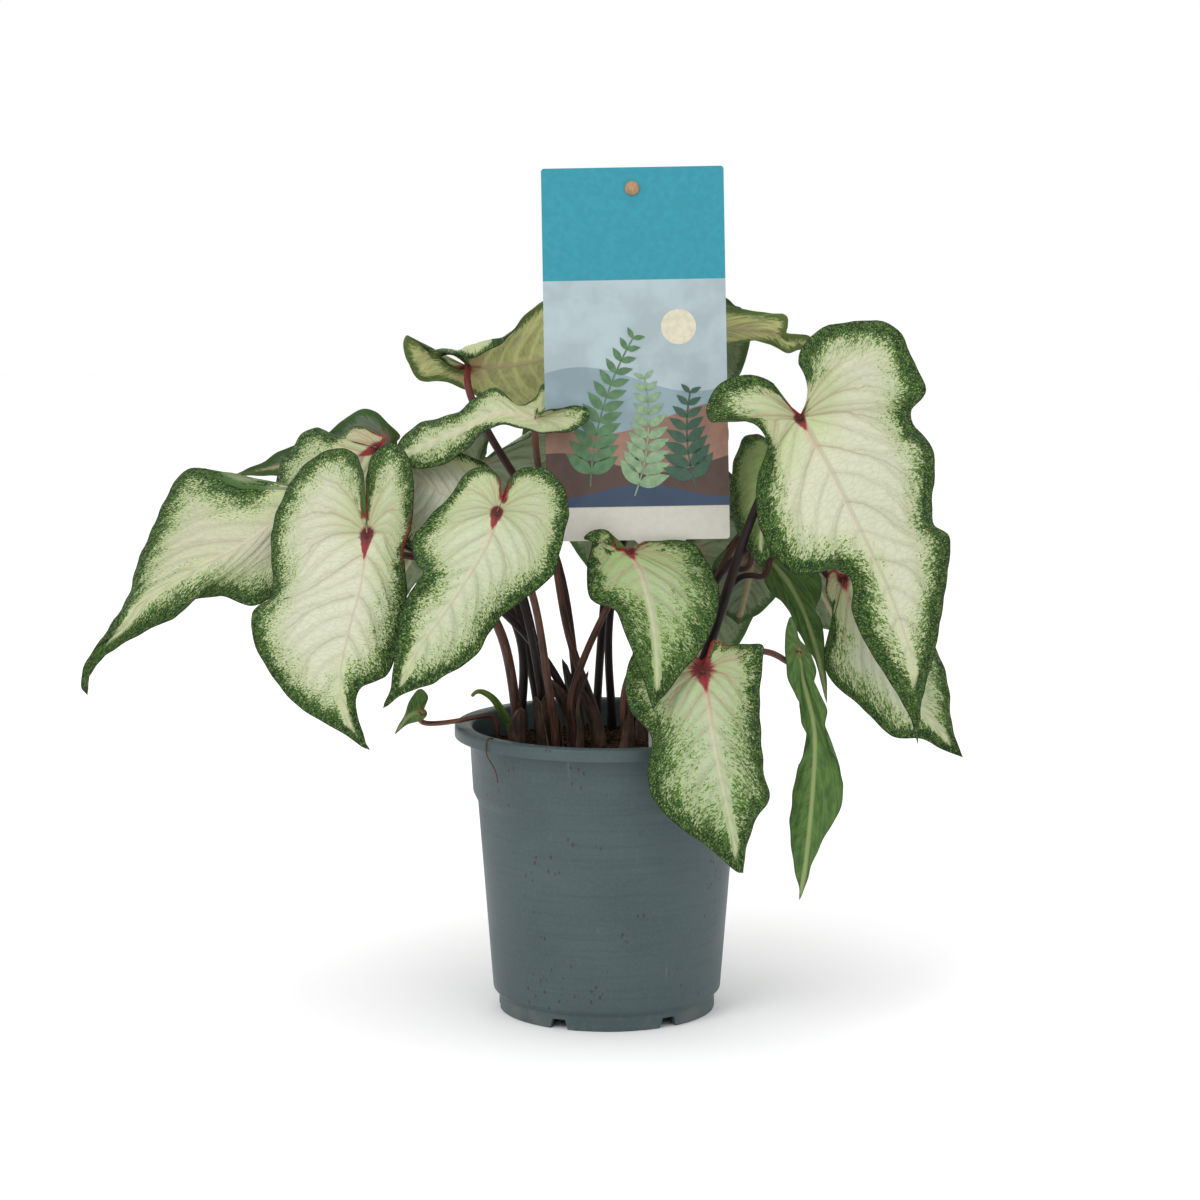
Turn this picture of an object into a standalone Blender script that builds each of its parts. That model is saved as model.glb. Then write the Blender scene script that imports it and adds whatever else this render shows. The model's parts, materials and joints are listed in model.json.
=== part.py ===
"""A potted caladium: heart-shaped leaves on arching stalks, in a nursery pot with a stick-in label.

Units are metres with +Z up. The leaves are drawn as outlines seen from in front of the plant, in
drawing places u (to the right) and v (down), and each is laid on a tilted plane at its own depth.
"""
import math
from collections import namedtuple

import bpy
import numpy as np
from mathutils.bvhtree import BVHTree

MM = 0.001
SHARP_ANGLE = math.radians(35)

# Pot, a 12 cm nursery pot of thin moulded plastic
POT_HEIGHT = 0.114
LIP_RADIUS = 0.060
LIP_BAND = 0.0047
COLLAR_TOP_RADIUS = 0.05425
COLLAR_LOW_RADIUS = 0.0528
COLLAR_LOW = 0.0875
WALL_TOP_RADIUS = 0.0509
WALL_TOP = 0.0835
WALL_LOW_RADIUS = 0.04505
WALL_LOW = 0.0082
FOOT_RADIUS = 0.04275
FOOT_TOP = 0.0062
POT_WALL = 0.0012
INNER_LIP_RADIUS = 0.0544
LIP_EDGE_OUT = 0.0006
LIP_EDGE_DOWN = 0.0008
LIP_THICK = 0.0016
FOOT_WALL = 0.002
POT_FLOOR = 0.0045
POT_FLOOR_THICK = 0.0015
POT_SIDES = 36
FOOT_NOTCHES = 6
FOOT_NOTCH_LOW = 0.009
FOOT_NOTCH_TOP = 0.0055
FOOT_NOTCH_HEIGHT = 0.004
FOOT_NOTCH_START = math.radians(-90 - 26)
DRAIN_HOLES = 6
DRAIN_RADIUS = 0.004
DRAIN_CIRCLE = 0.028
DRAIN_SIDES = 12
CUT_OVER = 0.002

# Soil
SOIL_TOP = 0.104
SOIL_TOP_RADIUS = 0.0519
SOIL_SURFACE = ((0.0, 0.0025), (0.35, 0.00225), (0.7, 0.00125), (1.0, -0.001))
GAP = 0.0003
HOLE_DEPTH = 0.022

# Label
LABEL_WIDTH = 0.0704
LABEL_HEIGHT = 0.1437
LABEL_THICK = 0.0008
LABEL_FOOT = (-0.0230, -0.020, 0.1884)
LABEL_LEAN = math.radians(1.0)
LABEL_TILT = math.radians(8.0)
LABEL_CORNER = 0.0012
LABEL_TAIL_WIDTH = 0.012
LABEL_TAIL_ACROSS = 0.0437
LABEL_TAIL_LENGTH = 0.106
LABEL_TAIL_POINT = 0.006
LABEL_TAIL_SHOULDER = 0.004

# Blades and stalks
BLADE_THICK = 0.0008
STATIONS = 16
RINGS = 3
SMALL_STATIONS = 6
SMALL_RINGS = 2
TURN_WEIGHT = 18.0
SPAN_STEPS = 12
SPINE_STEPS = 60
RIB_SHARE = 0.55
VEIN_BOW = 0.06
RIM_POWER = 1.8
STALK_SIDES = 6
STALK_RINGS = 12
STALK_TIP_RADIUS = 0.0011
STALK_FOOT = SOIL_TOP - HOLE_DEPTH + 0.001
STALK_RISE = (0.003, 0.014)
SEAT_GAP = 0.0003
SEAT_CLEAR = STALK_TIP_RADIUS + 0.0006
SEAT_REACH = 0.008
SEAT_SAMPLES = [np.array((a, b, 12 - a - b)) / 12 for a in range(13) for b in range(13 - a)]
ARRIVAL_RISE = 0.7
ARRIVAL_LENGTH = 0.012

PLACE_VALUES = 6

# How a blade's tight folds are opened: most rounds, share of the way to the neighbours' middle that a
# place moves in a round, and the overlap in mm that counts as touching
FOLD_ROUNDS = 240
FOLD_EASE = 0.1
FOLD_TOUCH = 0.0001

# The drawing's viewpoint, from the pot's axis and the table
EYE = np.array((-0.0027, -1.4, 0.367))
EYE_PITCH = math.radians(8.3)
EYE_FOCAL = 3608.0
EYE_CENTRE = 600.0

# A drawn leaf. heart is (u, v, depth in mm), face the way that the upper side looks: degrees round to
# the right from the viewer, and degrees up. left and right are margins from the notch to the tip, seen
# on the upper side with the tip down, and rib runs from the heart to the tip. A place is
# (u, v, depth added in mm, then how far the vein's middle is bent: right, down and back).
# stalk is ((x, y) at the soil in mm, radius in mm, places that it passes as (u, v, depth)).
Leaf = namedtuple("Leaf", "name heart face left right rib stalk")

LEAVES = (
    Leaf("leaf_far_left", (315, 490, -8), (-15, 30),
         left=((319, 487), (330, 476, 4), (322, 468, 6), (306, 472, 6), (282, 486, 3), (250, 490, 1),
               (236, 487.5), (222, 481, 3), (205, 469, 6), (196, 468, 7), (187, 470, 8), (178, 477, 8),
               (164, 502, 8), (150, 534, 7), (137, 564, 6), (130, 592, 4), (120, 611, 2), (100, 641),
               (92, 652), (84.5, 665), (81, 680), (82, 689), (87.5, 695)),
         right=((321, 491), (334, 500, 3), (340, 520, 5), (330, 550, 7), (300, 585, 9), (270, 599, 9),
                (250, 606, 8), (226, 597, 6), (214, 597, 5), (202, 598, 5), (193, 601, 5),
                (182, 611, 4), (174, 619, 4), (160, 624, 3), (128, 641, 2), (113, 650, 1), (102, 659),
                (91, 673), (87, 681), (86, 689), (87.5, 695)),
         rib=((315, 490, -2), (250, 540, -3), (200, 566, -3), (150, 597, -2), (119, 634), (92, 668),
              (87.5, 695)),
         stalk=((-12, -6), 1.9, ((540, 640, -12), (430, 548, -16)))),
    Leaf("leaf_front_left", (367, 534, -45), (-20, 25),
         left=((365, 517, -1), (362.5, 500, -2), (359, 478, -2), (355, 458, 1), (341, 448, 4),
               (316, 456, 6), (295, 476, 7), (280, 504, 8), (273, 525, 9), (271, 548, 9),
               (273, 582, 7), (270, 598, 3), (259, 606, 1), (252, 613), (252, 630), (256, 648, 1),
               (275, 680, 3), (299, 707, 5), (337, 730, 8), (352, 739, 10), (362, 747, 11),
               (370, 750, 12)),
         right=((366.5, 517, 1), (367, 500, 2), (367, 478, 2), (370, 460, 3), (381, 447, 4),
                (391, 443, 6), (405, 451, 7), (412, 470, 7), (414, 495, 7), (411, 528, 7),
                (405, 545, 6), (404, 560, 6), (407, 590, 6), (404, 620, 6), (396, 655, 6),
                (388, 674, 6), (377, 681, 6), (363, 686, 6), (357, 696, 7), (356, 708, 8),
                (361, 727, 10), (366, 743, 11), (370, 750, 12)),
         rib=((367, 534), (360, 585, -2), (350, 622, -2), (342, 658), (339, 682, 2), (342, 704, 5),
              (352, 726, 8), (370, 750, 12)),
         stalk=((-35, -14), 2.3, ((510, 660, -20), (495, 610, -26), (440, 555, -32)))),
    Leaf("leaf_centre_left", (497, 512, -60), (5, 20),
         left=((502, 500, -1), (501, 489, -2), (497, 474), (483, 466, 3), (463, 476, 5), (452, 494, 5),
               (431, 515, 6), (415, 535, 7), (412.5, 548, 6), (416, 563, 3), (423, 573, -3),
               (416, 584, -2), (409, 594, 1), (403, 610, 3), (397, 641, 4), (394, 660, 5),
               (392, 680, 6), (389, 693, 7), (383, 708, 8)),
         right=((504, 500, 1), (506, 488, 1), (512, 475, 2), (524, 468, 3), (540, 467, 4),
                (555, 476, 5), (565, 491, 6), (569, 511, 7), (566, 527, 7), (560, 552, 7),
                (553, 575, 7), (530, 595, 7), (503, 615, 7), (490, 632, 7), (477, 654, 7),
                (462, 666, 7), (441, 678, 7), (430, 685, 7), (407, 692, 7), (392, 702, 8),
                (383, 708, 8)),
         rib=((497, 512), (486, 545, -2), (458, 592, -2), (420, 646, 1), (400, 684, 5), (383, 708, 8)),
         stalk=((-20, -26), 1.9, ((547, 680, -31), (541, 630, -36), (528, 570, -42)))),
    Leaf("leaf_upper_left", (469, 367, 30), (176, 20),
         left=((466, 362), (458, 357, -4, 0, -2), (446, 354, -9, 0, -4), (434, 359, -12, -2, -9),
               (428.5, 353, -13, -3, -9), (440, 352, -12, 0, -9), (455, 354, -12, 0, -10),
               (472, 358, -12, 0, -18), (491, 349, -10, 0, -16), (502, 343, -10, 0, -14),
               (510, 335, -9, 0, -12), (520, 321, -6, 0, -6), (540, 303, -1), (565, 294),
               (590, 296, 2), (612, 306, 4), (630, 322, 6)),
         right=((464, 370), (450, 366, -2), (438, 357, -5), (427, 350, -7), (416, 341, -8),
                (407, 335, -9), (403.5, 344, -9), (405, 356, -8), (409, 364, -7), (413, 373, -5),
                (419, 380, -4), (427, 382, -3), (440, 381, -2), (455, 385, 0), (470, 392, 2),
                (500, 408, 4), (545, 415, 8), (580, 402, 9), (608, 365, 8), (622, 340, 7),
                (630, 322, 6)),
         rib=((469, 367), (500, 366, -3), (545, 358, -2), (590, 340, 3), (630, 322, 6)),
         stalk=((-11, 8), 2.0, ((572, 637, 8), (558, 541, 8), (500, 455, 10), (473, 405, 16)))),
    Leaf("leaf_across", (531, 420, -17), (-4, 40),
         left=((537, 415, -1), (541, 410, -1), (540.5, 403, -1), (534, 399, 2), (526, 403, 5), (517, 404, 5),
               (508.5, 399, 5), (503, 391, 6), (495, 388, 6), (484, 392, 6), (476, 397, 5),
               (458, 412, 4), (439, 418, 3), (427, 421, 3), (417, 425, 3), (404, 436, 3), (385, 462, 4)),
         right=((538, 417, -2), (543, 414.5, -4), (554, 409.5, -5), (565, 407, -5), (580, 406, -4),
                (589, 411, -3), (587, 421, -3), (574, 430, -4), (552, 433, -5), (531, 431, -5),
                (508, 425, -4), (490, 428, -3), (480, 435, -3), (467, 449, -3), (457, 456, -2), (439, 466),
                (413, 468, 1), (385, 462, 4)),
         rib=((531, 420), (500, 413, -1), (460, 430, -1), (420, 447, 1), (385, 462, 4)),
         stalk=((-3, -7), 1.8, ((566, 640, -6), (556, 560, -4), (540, 480, -4)))),
    Leaf("leaf_back_left", (378, 448, 22), (-10, 30),
         left=((383, 444), (386, 437, 3), (378, 435, 5), (365, 428, 6), (350, 428, 5), (340, 437, 2),
               (330, 437, 2), (322, 430, 4), (314, 428, 5), (303, 433, 6), (291, 450, 5),
               (280, 464, 5), (276, 485, 5), (266, 512, 6), (258, 545, 8)),
         right=((384, 451), (394, 460, 3), (392, 478, 5), (368, 505, 5), (335, 530, 4), (300, 552, 4),
                (276, 557, 6), (258, 545, 8)),
         rib=((378, 448), (340, 465, -3), (300, 500, -2), (258, 545, 8)),
         stalk=((-34, 2), 2.2, ((526, 665, 2), (517, 610, 4), (440, 510, 6)))),
    Leaf("leaf_grey_left", (392, 446, 42), (170, 28),
         left=((397, 450), (405, 458, 2), (400, 470, 3), (370, 480, 3), (320, 482, 2), (277, 476),
               (234, 476)),
         right=((397, 442), (400, 435, 2), (389, 424, 2), (376, 412, 3), (362, 409, 4), (343, 420, 3),
                (326, 434, 2), (305, 443, 2), (282, 450, 2), (260, 464, 1), (246, 469), (234, 476)),
         rib=((392, 446), (350, 452, 4), (300, 462, 3), (234, 476)),
         stalk=((-27, 14), 1.9, ((525, 640, 16), (515, 590, 22), (450, 480, 34)))),
    Leaf("leaf_pale_back", (478, 500, -22), (0, 15),
         left=((484, 496), (494, 484, 3), (488, 466, 4), (466, 455, 4), (440, 450, 4), (415, 453, 4),
               (396, 470, 5), (385, 492, 6)),
         right=((485, 503), (496, 516, 3), (487, 541, 4), (458, 554, 4), (430, 552, 4), (407, 546, 4),
                (393, 522, 5), (385, 492, 6)),
         rib=((478, 500), (450, 496, -2), (418, 482, 0), (385, 492, 6)),
         stalk=((-24, -13), 1.7, ((533, 640, -20), (518, 580, -18)))),
    Leaf("leaf_front_centre", (629, 551, -27), (5, 38),
         left=((625, 548, -1), (618, 548, -2), (614, 540, -3), (608, 531, -5), (600, 529, -6),
               (590, 532, -6), (584, 538, -5), (592, 541, -3), (590, 553, -1), (587, 568), (587, 582),
               (589, 596, -1), (597, 604, -2), (608, 607, -3), (617, 613, -3), (625, 634, -3),
               (636, 660, -4), (646, 688, -5), (653, 710, -6)),
         right=((631, 548), (638, 545), (648, 541.5, -1), (665, 540.5, -1), (685, 540.5, -1),
                (695, 545, -1), (703, 555, -1), (713, 573, -1), (719, 590, -2), (717, 615, -3),
                (708, 638, -5), (698, 654, -6), (682, 672, -5), (668, 692, -5), (660, 700, -5),
                (653, 710, -6)),
         rib=((629, 551, -1), (642, 575, -4), (653, 620, -5), (657, 665, -5), (656, 695, -5),
              (653, 710, -6)),
         stalk=((-12, -19), 1.7, ((566, 705, -20), (590, 640, -20), (622, 580, -16)))),
    Leaf("leaf_front_low", (702.5, 670, -56), (6, 14),
         left=((699, 660, 1), (690, 650, 3), (668, 642, 5), (645, 645, 6), (632, 655, 6),
               (626, 675, 3), (625, 690, 0), (628, 703, -1), (633, 715, -2), (645, 727, -3),
               (652, 741, -4), (648, 762, -3), (648, 780, -2), (652, 797), (664, 813, 1),
               (682, 829, 2), (707, 846, 3), (725, 862, 4), (737, 872, 5), (743.5, 873, 5)),
         right=((705, 660, 1), (709, 648, 2), (714, 640, 3), (728, 645, 3), (745, 644, 4),
                (762, 645, 5), (763, 660, 4), (760, 690, 4), (760, 715, 4), (762, 750, 4),
                (765, 780, 5), (770, 794, 5), (768, 803, 5), (759, 814, 4), (750, 835, 4),
                (744, 860, 5), (743.5, 873, 5)),
         rib=((702.5, 670), (708, 700, -3), (716, 750, -4), (727, 805, -1), (736, 850, 3),
              (743.5, 873, 5)),
         stalk=((7, -30), 1.7, ((622, 700, -32), (632, 660, -36), (672, 640, -42)))),
    Leaf("leaf_big_right", (799.5, 418, -40), (10, 16),
         left=((798, 414, -1), (792, 408, -2), (784, 400, -3), (779, 391, -2), (768, 380),
               (756, 375.5, 2), (743, 375, 4), (722, 382, 6), (710, 397, 5), (706, 412, 2), (711, 421),
               (722, 420, -2), (740, 420, -3), (757, 426, -2), (766, 438), (767, 450, 2),
               (758, 475, 5), (756, 498, 6), (760, 528, 6), (777, 559, 6), (796, 574, 6),
               (817, 573, 5), (834, 569, 4), (849, 577, 4), (853, 592, 4), (852, 612, 5),
               (867, 646, 6), (896, 692, 9), (911, 720, 12), (917.5, 744, 14)),
         right=((802, 414, 1), (806.5, 404, 3, 0, 1), (809, 390, 5, 2, 0), (804, 374, 6, 6, 0),
                (798.5, 360, 7, 10, 0), (803, 346, 8, 9), (822, 328, 8, 5), (850, 322, 7, 2),
                (880, 321, 6), (900, 332, 5), (912, 358, 4), (925, 385, 4), (923, 398, 5),
                (911, 410, 6), (915, 427, 6), (931, 445, 5), (935, 470, 4), (932, 500, 5),
                (934, 524, 6), (949, 536, 6), (950, 552, 6), (945, 592, 8), (935, 650, 10),
                (922, 700, 12), (917.5, 744, 14)),
         rib=((799.5, 418), (826, 464, -4), (853, 518, -5), (877, 567, -2), (900, 623, 3),
              (915, 680, 9), (917.5, 744, 14)),
         stalk=((27, -18), 2.4, ((712, 645, -19), (738, 552, -20), (770, 470, -24)))),
    Leaf("leaf_right_low", (843, 578, -8), (12, 18),
         left=((841, 574), (834, 570, 3), (827, 577, 5), (826, 590, 5), (832, 610, 3), (831, 630, 3),
               (824.5, 652, 5), (825, 666, 5), (834, 684, 4), (860, 706, 4), (884, 730, 4),
               (897, 738, 4), (922, 739, 6), (941, 749, 8), (963, 757.5, 10)),
         right=((846, 574), (860, 566, 4), (885, 572, 6), (908, 598, 7), (928, 635, 7), (942, 662, 6),
                (949, 690, 6), (951, 720, 7), (957, 742, 8), (963, 757.5, 10)),
         rib=((843, 578), (858, 625, -2), (890, 680, 0), (926, 715, 4), (963, 757.5, 10)),
         stalk=((21, -1), 1.7, ((704, 600, -5), (730, 555, -6), (795, 525, -4)))),
    Leaf("leaf_twisted", (799, 650, -30), (-8, 12),
         left=((799, 641, 2), (797, 628, 3), (791, 617, 4), (786, 628, 3), (785, 648), (788, 678, -2),
               (796, 696, -3), (801, 705, -3), (801, 720, -2), (807, 735, -1), (805, 752),
               (796, 775, 1), (791, 810, 1), (790, 832), (794, 866), (799, 888), (799.5, 900)),
         right=((801, 641, 3), (806, 647, 4), (814, 661, 4), (816, 672, 3), (814, 685, 3),
                (820, 698, 3), (827.5, 710, 2), (825, 726, 1), (829, 748), (838, 764), (843, 785, 1),
                (840, 810, 1), (825, 836), (812, 864), (804, 890), (799.5, 900)),
         rib=((799, 650, 1), (803, 680, 2), (812, 715, 2), (815, 745), (812, 800, -2), (806, 860, -1),
              (799.5, 900)),
         stalk=((33, -24), 1.2, ((706, 690, -27), (730, 655, -34), (772, 647, -38)))),
    Leaf("leaf_grey_right", (752, 552, 22), (170, 15),
         left=((756, 548), (764, 544, 2), (776, 553, 3), (782, 572, 2), (778, 592, 1), (768, 606),
               (755, 616), (738, 624)),
         right=((748, 548), (738, 545, 2), (722, 552, 3), (712, 568, 2), (712, 590, 1), (720, 609),
                (738, 624)),
         rib=((752, 552), (749, 580, -2), (738, 624)),
         stalk=((9, 15), 1.5, ((668, 640, 16), (710, 560, 17)))),
    Leaf("leaf_strap_right", (770, 560, 4), (168, 12),
         left=((771, 554), (784, 551, 2), (804, 560, 3), (820, 576, 3), (821, 594, 2), (816, 610),
               (823, 628, -1), (825, 659, -2), (827, 685, -2), (827, 704, -2)),
         right=((764, 556), (762, 570, 2), (771, 593, 2), (783, 602, 1), (791, 616), (801, 637, -1),
                (815, 661, -2), (822, 687, -2), (827, 704, -2)),
         rib=((770, 560), (788, 582, -2), (804, 612, -2), (818, 655, -2), (827, 704, -2)),
         stalk=((22, 12), 1.5, ((700, 640, 10), (738, 565, 2)))),
    Leaf("leaf_by_label", (777, 455, -12), (-55, 18),
         left=((772, 447), (766, 438, 2), (755, 434, 3), (744, 438, 4), (736, 455, 4), (731, 480, 4),
               (732, 512, 3), (741, 540, 2), (752, 556), (760, 567)),
         right=((782, 452), (792, 460, 3), (794, 485, 5), (788, 520, 4), (776, 550, 2), (760, 567)),
         rib=((777, 455), (768, 490, -2), (762, 530, -2), (760, 567)),
         stalk=((14, 5), 1.6, ((690, 640, 6), (722, 560, 8), (765, 500, 5)))),
    Leaf("leaf_behind_label", (680, 330, 32), (172, 25),
         left=((675, 327), (664, 319, 2), (659, 306, 4), (670, 296, 5), (692, 294, 4), (715, 301, 3),
               (729, 306, 2), (760, 312, 2), (785, 315, 2), (788, 326, 1), (787, 333), (798, 334),
               (810, 337), (824, 348, 2)),
         right=((676, 334), (666, 342, 2), (663, 354, 4), (678, 362, 5), (700, 357, 4), (729, 346, 2),
                (752, 341, 1), (768, 343), (778, 349, -1), (788, 353, -1), (798, 350), (808, 350, 1),
                (824, 348, 2)),
         rib=((680, 330), (720, 328, -2), (770, 331, -1), (800, 341), (824, 348, 2)),
         stalk=((2, 22), 1.9, ((606, 640, 24), (616, 560, 28), (662, 400, 34)))),
)

# A leaf on the far side: heart (x, y, z) and tip direction are in mm and degrees
FarLeaf = namedtuple("FarLeaf", "name heart heading dip length width droop base radius")

FAR_LEAVES = (
    FarLeaf("leaf_far_1", (-54, 65, 208), 130, 38, 98, 80, 16, (-24, 30), 2.0),
    FarLeaf("leaf_far_2", (8, 84, 222), 92, 42, 104, 86, 18, (-4, 33), 2.1),
    FarLeaf("leaf_far_3", (62, 58, 196), 48, 40, 92, 76, 15, (24, 27), 2.0),
    FarLeaf("leaf_far_4", (22, 58, 276), 70, 30, 84, 66, 12, (11, 30), 1.9),
    FarLeaf("leaf_far_5", (34, 76, 172), 78, 52, 76, 60, 10, (18, 20), 1.6),
)

# How the far leaves' margins wave and sag, in mm and shares, and where their stalks bend
WAVE_HEIGHT = 2.5
WAVE_STEP = 2.3
LOBE_SAG = 0.4
FAR_STALK_MIDDLE = (0.4, 0.4, 0.55)
FAR_STALK_LIFT = 0.012

# Heart outline for the far leaves: across and along as shares of width and length, tip at (0, 1)
HEART_MARGIN = ((0.03, -0.10), (0.10, -0.26), (0.24, -0.34), (0.38, -0.27), (0.47, -0.10), (0.50, 0.12),
                (0.45, 0.36), (0.32, 0.60), (0.16, 0.80), (0.05, 0.92), (0.0, 1.0))

SMALL_LEAF = Leaf(
    "small_leaf", (423, 712, -10), (-10, 20),
    left=((421, 708), (424, 703), (428, 699, 1), (426, 693, 1), (421, 689, 1), (415, 692, 1), (408, 706, 1),
          (401, 722), (395, 734)),
    right=((424, 709), (427, 712, 1), (425, 717, 2), (416, 722, 2), (407, 725, 1), (400, 729), (395, 734)),
    rib=((423, 712), (412, 714, -1), (402, 723, -1), (395, 734)),
    stalk=((-43, -3), 0.9, ((478, 716, -6), (455, 722, -8))))

# The shoot's middle line as (u, v, depth), and its radius from base to tip
SHOOT_BASE = (-38, 10)
SHOOT_PATH = ((501, 711, 8), (496, 701, 6), (487, 693, 4), (477, 690, 2), (472, 696, 0))
SHOOT_RADIUS = 0.0017
SHOOT_TIP_RADIUS = 0.0007
SHOOT_RISE = (0.003, 0.007)
SHOOT_RINGS = 10


def clear_scene():
    for thing in list(bpy.data.objects):
        bpy.data.objects.remove(thing, do_unlink=True)


def material(name, colour, roughness):
    made = bpy.data.materials.new(name)
    made.use_nodes = True
    shader = made.node_tree.nodes["Principled BSDF"]
    shader.inputs["Base Color"].default_value = (*colour, 1.0)
    shader.inputs["Roughness"].default_value = roughness
    return made


def add_object(name, points, faces, finish):
    mesh = bpy.data.meshes.new(name)
    mesh.from_pydata([tuple(point) for point in points], [], faces)
    mesh.validate()
    mesh.shade_smooth()
    mesh.set_sharp_from_angle(angle=SHARP_ANGLE)
    made = bpy.data.objects.new(name, mesh)
    bpy.context.scene.collection.objects.link(made)
    if finish is not None:
        mesh.materials.append(finish)
    return made


def turned(name, profile, sides, finish):
    """A solid turned from (radius, height) places that start and end on the axis, inside to outside."""
    points = []
    rings = []
    for radius, height in profile:
        if radius < 1e-6:
            rings.append([len(points)])
            points.append((0.0, 0.0, height))
            continue
        rings.append(list(range(len(points), len(points) + sides)))
        for step in range(sides):
            angle = 2 * math.pi * step / sides
            points.append((radius * math.cos(angle), radius * math.sin(angle), height))
    faces = []
    for inner, outer in zip(rings, rings[1:]):
        for step in range(sides):
            after = (step + 1) % sides
            if len(inner) == 1:
                faces.append((inner[0], outer[step], outer[after]))
            elif len(outer) == 1:
                faces.append((inner[step], outer[0], inner[after]))
            else:
                faces.append((inner[step], outer[step], outer[after], inner[after]))
    return add_object(name, points, faces, finish)


def cut(target, cutters):
    """Take the cutters away from the target, one Boolean for the whole collection."""
    group = bpy.data.collections.new(target.name + "_cutters")
    bpy.context.scene.collection.children.link(group)
    for cutter in cutters:
        for owner in list(cutter.users_collection):
            owner.objects.unlink(cutter)
        group.objects.link(cutter)
        cutter.hide_render = True
        cutter.display_type = "WIRE"
    boolean = target.modifiers.new("cut", "BOOLEAN")
    boolean.operation = "DIFFERENCE"
    boolean.operand_type = "COLLECTION"
    boolean.collection = group
    boolean.solver = "EXACT"


def cylinder(name, x, y, low, high, radius, sides):
    rings = ((0.0, high), (radius, high), (radius, low), (0.0, low))
    made = turned(name, rings, sides, None)
    made.location = (x, y, 0.0)
    return made


def sight_lines(places):
    """Unit lines from the eye through drawn places, one row each."""
    forward = np.array((0.0, math.cos(EYE_PITCH), -math.sin(EYE_PITCH)))
    upward = np.array((0.0, math.sin(EYE_PITCH), math.cos(EYE_PITCH)))
    rightward = np.array((1.0, 0.0, 0.0))
    across = places[..., 0:1] - EYE_CENTRE
    above = EYE_CENTRE - places[..., 1:2]
    lines = forward * EYE_FOCAL + rightward * across + upward * above
    return lines / np.linalg.norm(lines, axis=-1, keepdims=True)


def place_at_depth(u, v, depth):
    """The point seen at (u, v) whose y is depth, given in mm."""
    line = sight_lines(np.array((u, v), dtype=float))
    return EYE + line * ((depth * MM - EYE[1]) / line[1])


def face_normal(face):
    turn, tilt = (math.radians(angle) for angle in face)
    return np.array((math.sin(turn) * math.cos(tilt), -math.cos(turn) * math.cos(tilt), math.sin(tilt)))


def lay_on_plane(places, origin, normal):
    """Lay drawn places (u, v, added depth in mm) on the plane through origin."""
    lines = sight_lines(places)
    reach = ((origin - EYE) @ normal) / (lines @ normal)
    return EYE + lines * (reach + places[..., 2] * MM)[..., None]


def full_rows(places):
    return np.array([tuple(place) + (0.0,) * (PLACE_VALUES - len(place)) for place in places])


def smooth_rows(rows, count, turn_weight):
    """A Catmull-Rom curve through the rows, read at count steps, closer together where it turns."""
    padded = np.vstack((2 * rows[0] - rows[1], rows, 2 * rows[-1] - rows[-2]))
    dense = []
    for before, start, end, after in zip(padded, padded[1:], padded[2:], padded[3:]):
        for step in range(SPAN_STEPS):
            t = step / SPAN_STEPS
            dense.append(0.5 * (2 * start + (end - before) * t
                                + (2 * before - 5 * start + 4 * end - after) * t ** 2
                                + (3 * start - before - 3 * end + after) * t ** 3))
    dense.append(rows[-1])
    dense = np.array(dense)
    spans = np.diff(dense[:, :3], axis=0)
    steps = np.linalg.norm(spans, axis=1)
    heading = np.unwrap(np.arctan2(spans[:, 1], spans[:, 0]))
    turning = np.abs(np.gradient(heading)) * turn_weight
    length = np.concatenate(((0.0,), np.cumsum(steps + turning)))
    wanted = np.linspace(0.0, length[-1], count)
    return np.stack([np.interp(wanted, length, dense[:, k]) for k in range(dense.shape[1])], axis=1)


def side_rows(margin, rib, stations, rings):
    """Rows of places from the rib to one margin, from the tip's station to the notch's."""
    rim = smooth_rows(full_rows(margin), stations + 1, TURN_WEIGHT)[::-1]
    spine = smooth_rows(full_rows(rib), SPINE_STEPS, 0.0)
    spine_shares = np.linspace(0.0, 1.0, SPINE_STEPS)
    heart = spine[0]
    shares = np.linspace(0.0, 1.0, rings + 1)
    rows = []
    for station in range(stations + 1):
        q = station / stations
        along = max(0.0, 1.0 - q / RIB_SHARE)
        start = np.array([np.interp(along, spine_shares, spine[:, k]) for k in range(3)])
        end = rim[station, :3]
        bend = rim[station, 3:]
        span = end[:2] - start[:2]
        length = np.linalg.norm(span)
        side = np.zeros(2)
        if 0.0 < along < 1.0:
            toward = heart[:2] - (start[:2] + end[:2]) / 2
            side = toward - span * (toward @ span) / max(length ** 2, 1e-9)
            side = side / max(np.linalg.norm(side), 1e-9) * VEIN_BOW * length
        row = np.zeros((rings + 1, 3))
        hump = 4 * shares * (1 - shares)
        row[:, :2] = start[:2] + span * shares[:, None] + (bend[:2] + side) * hump[:, None]
        row[:, 2] = start[2] + (end[2] - start[2]) * shares ** RIM_POWER + bend[2] * hump
        rows.append(row)
    return np.array(rows)


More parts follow.
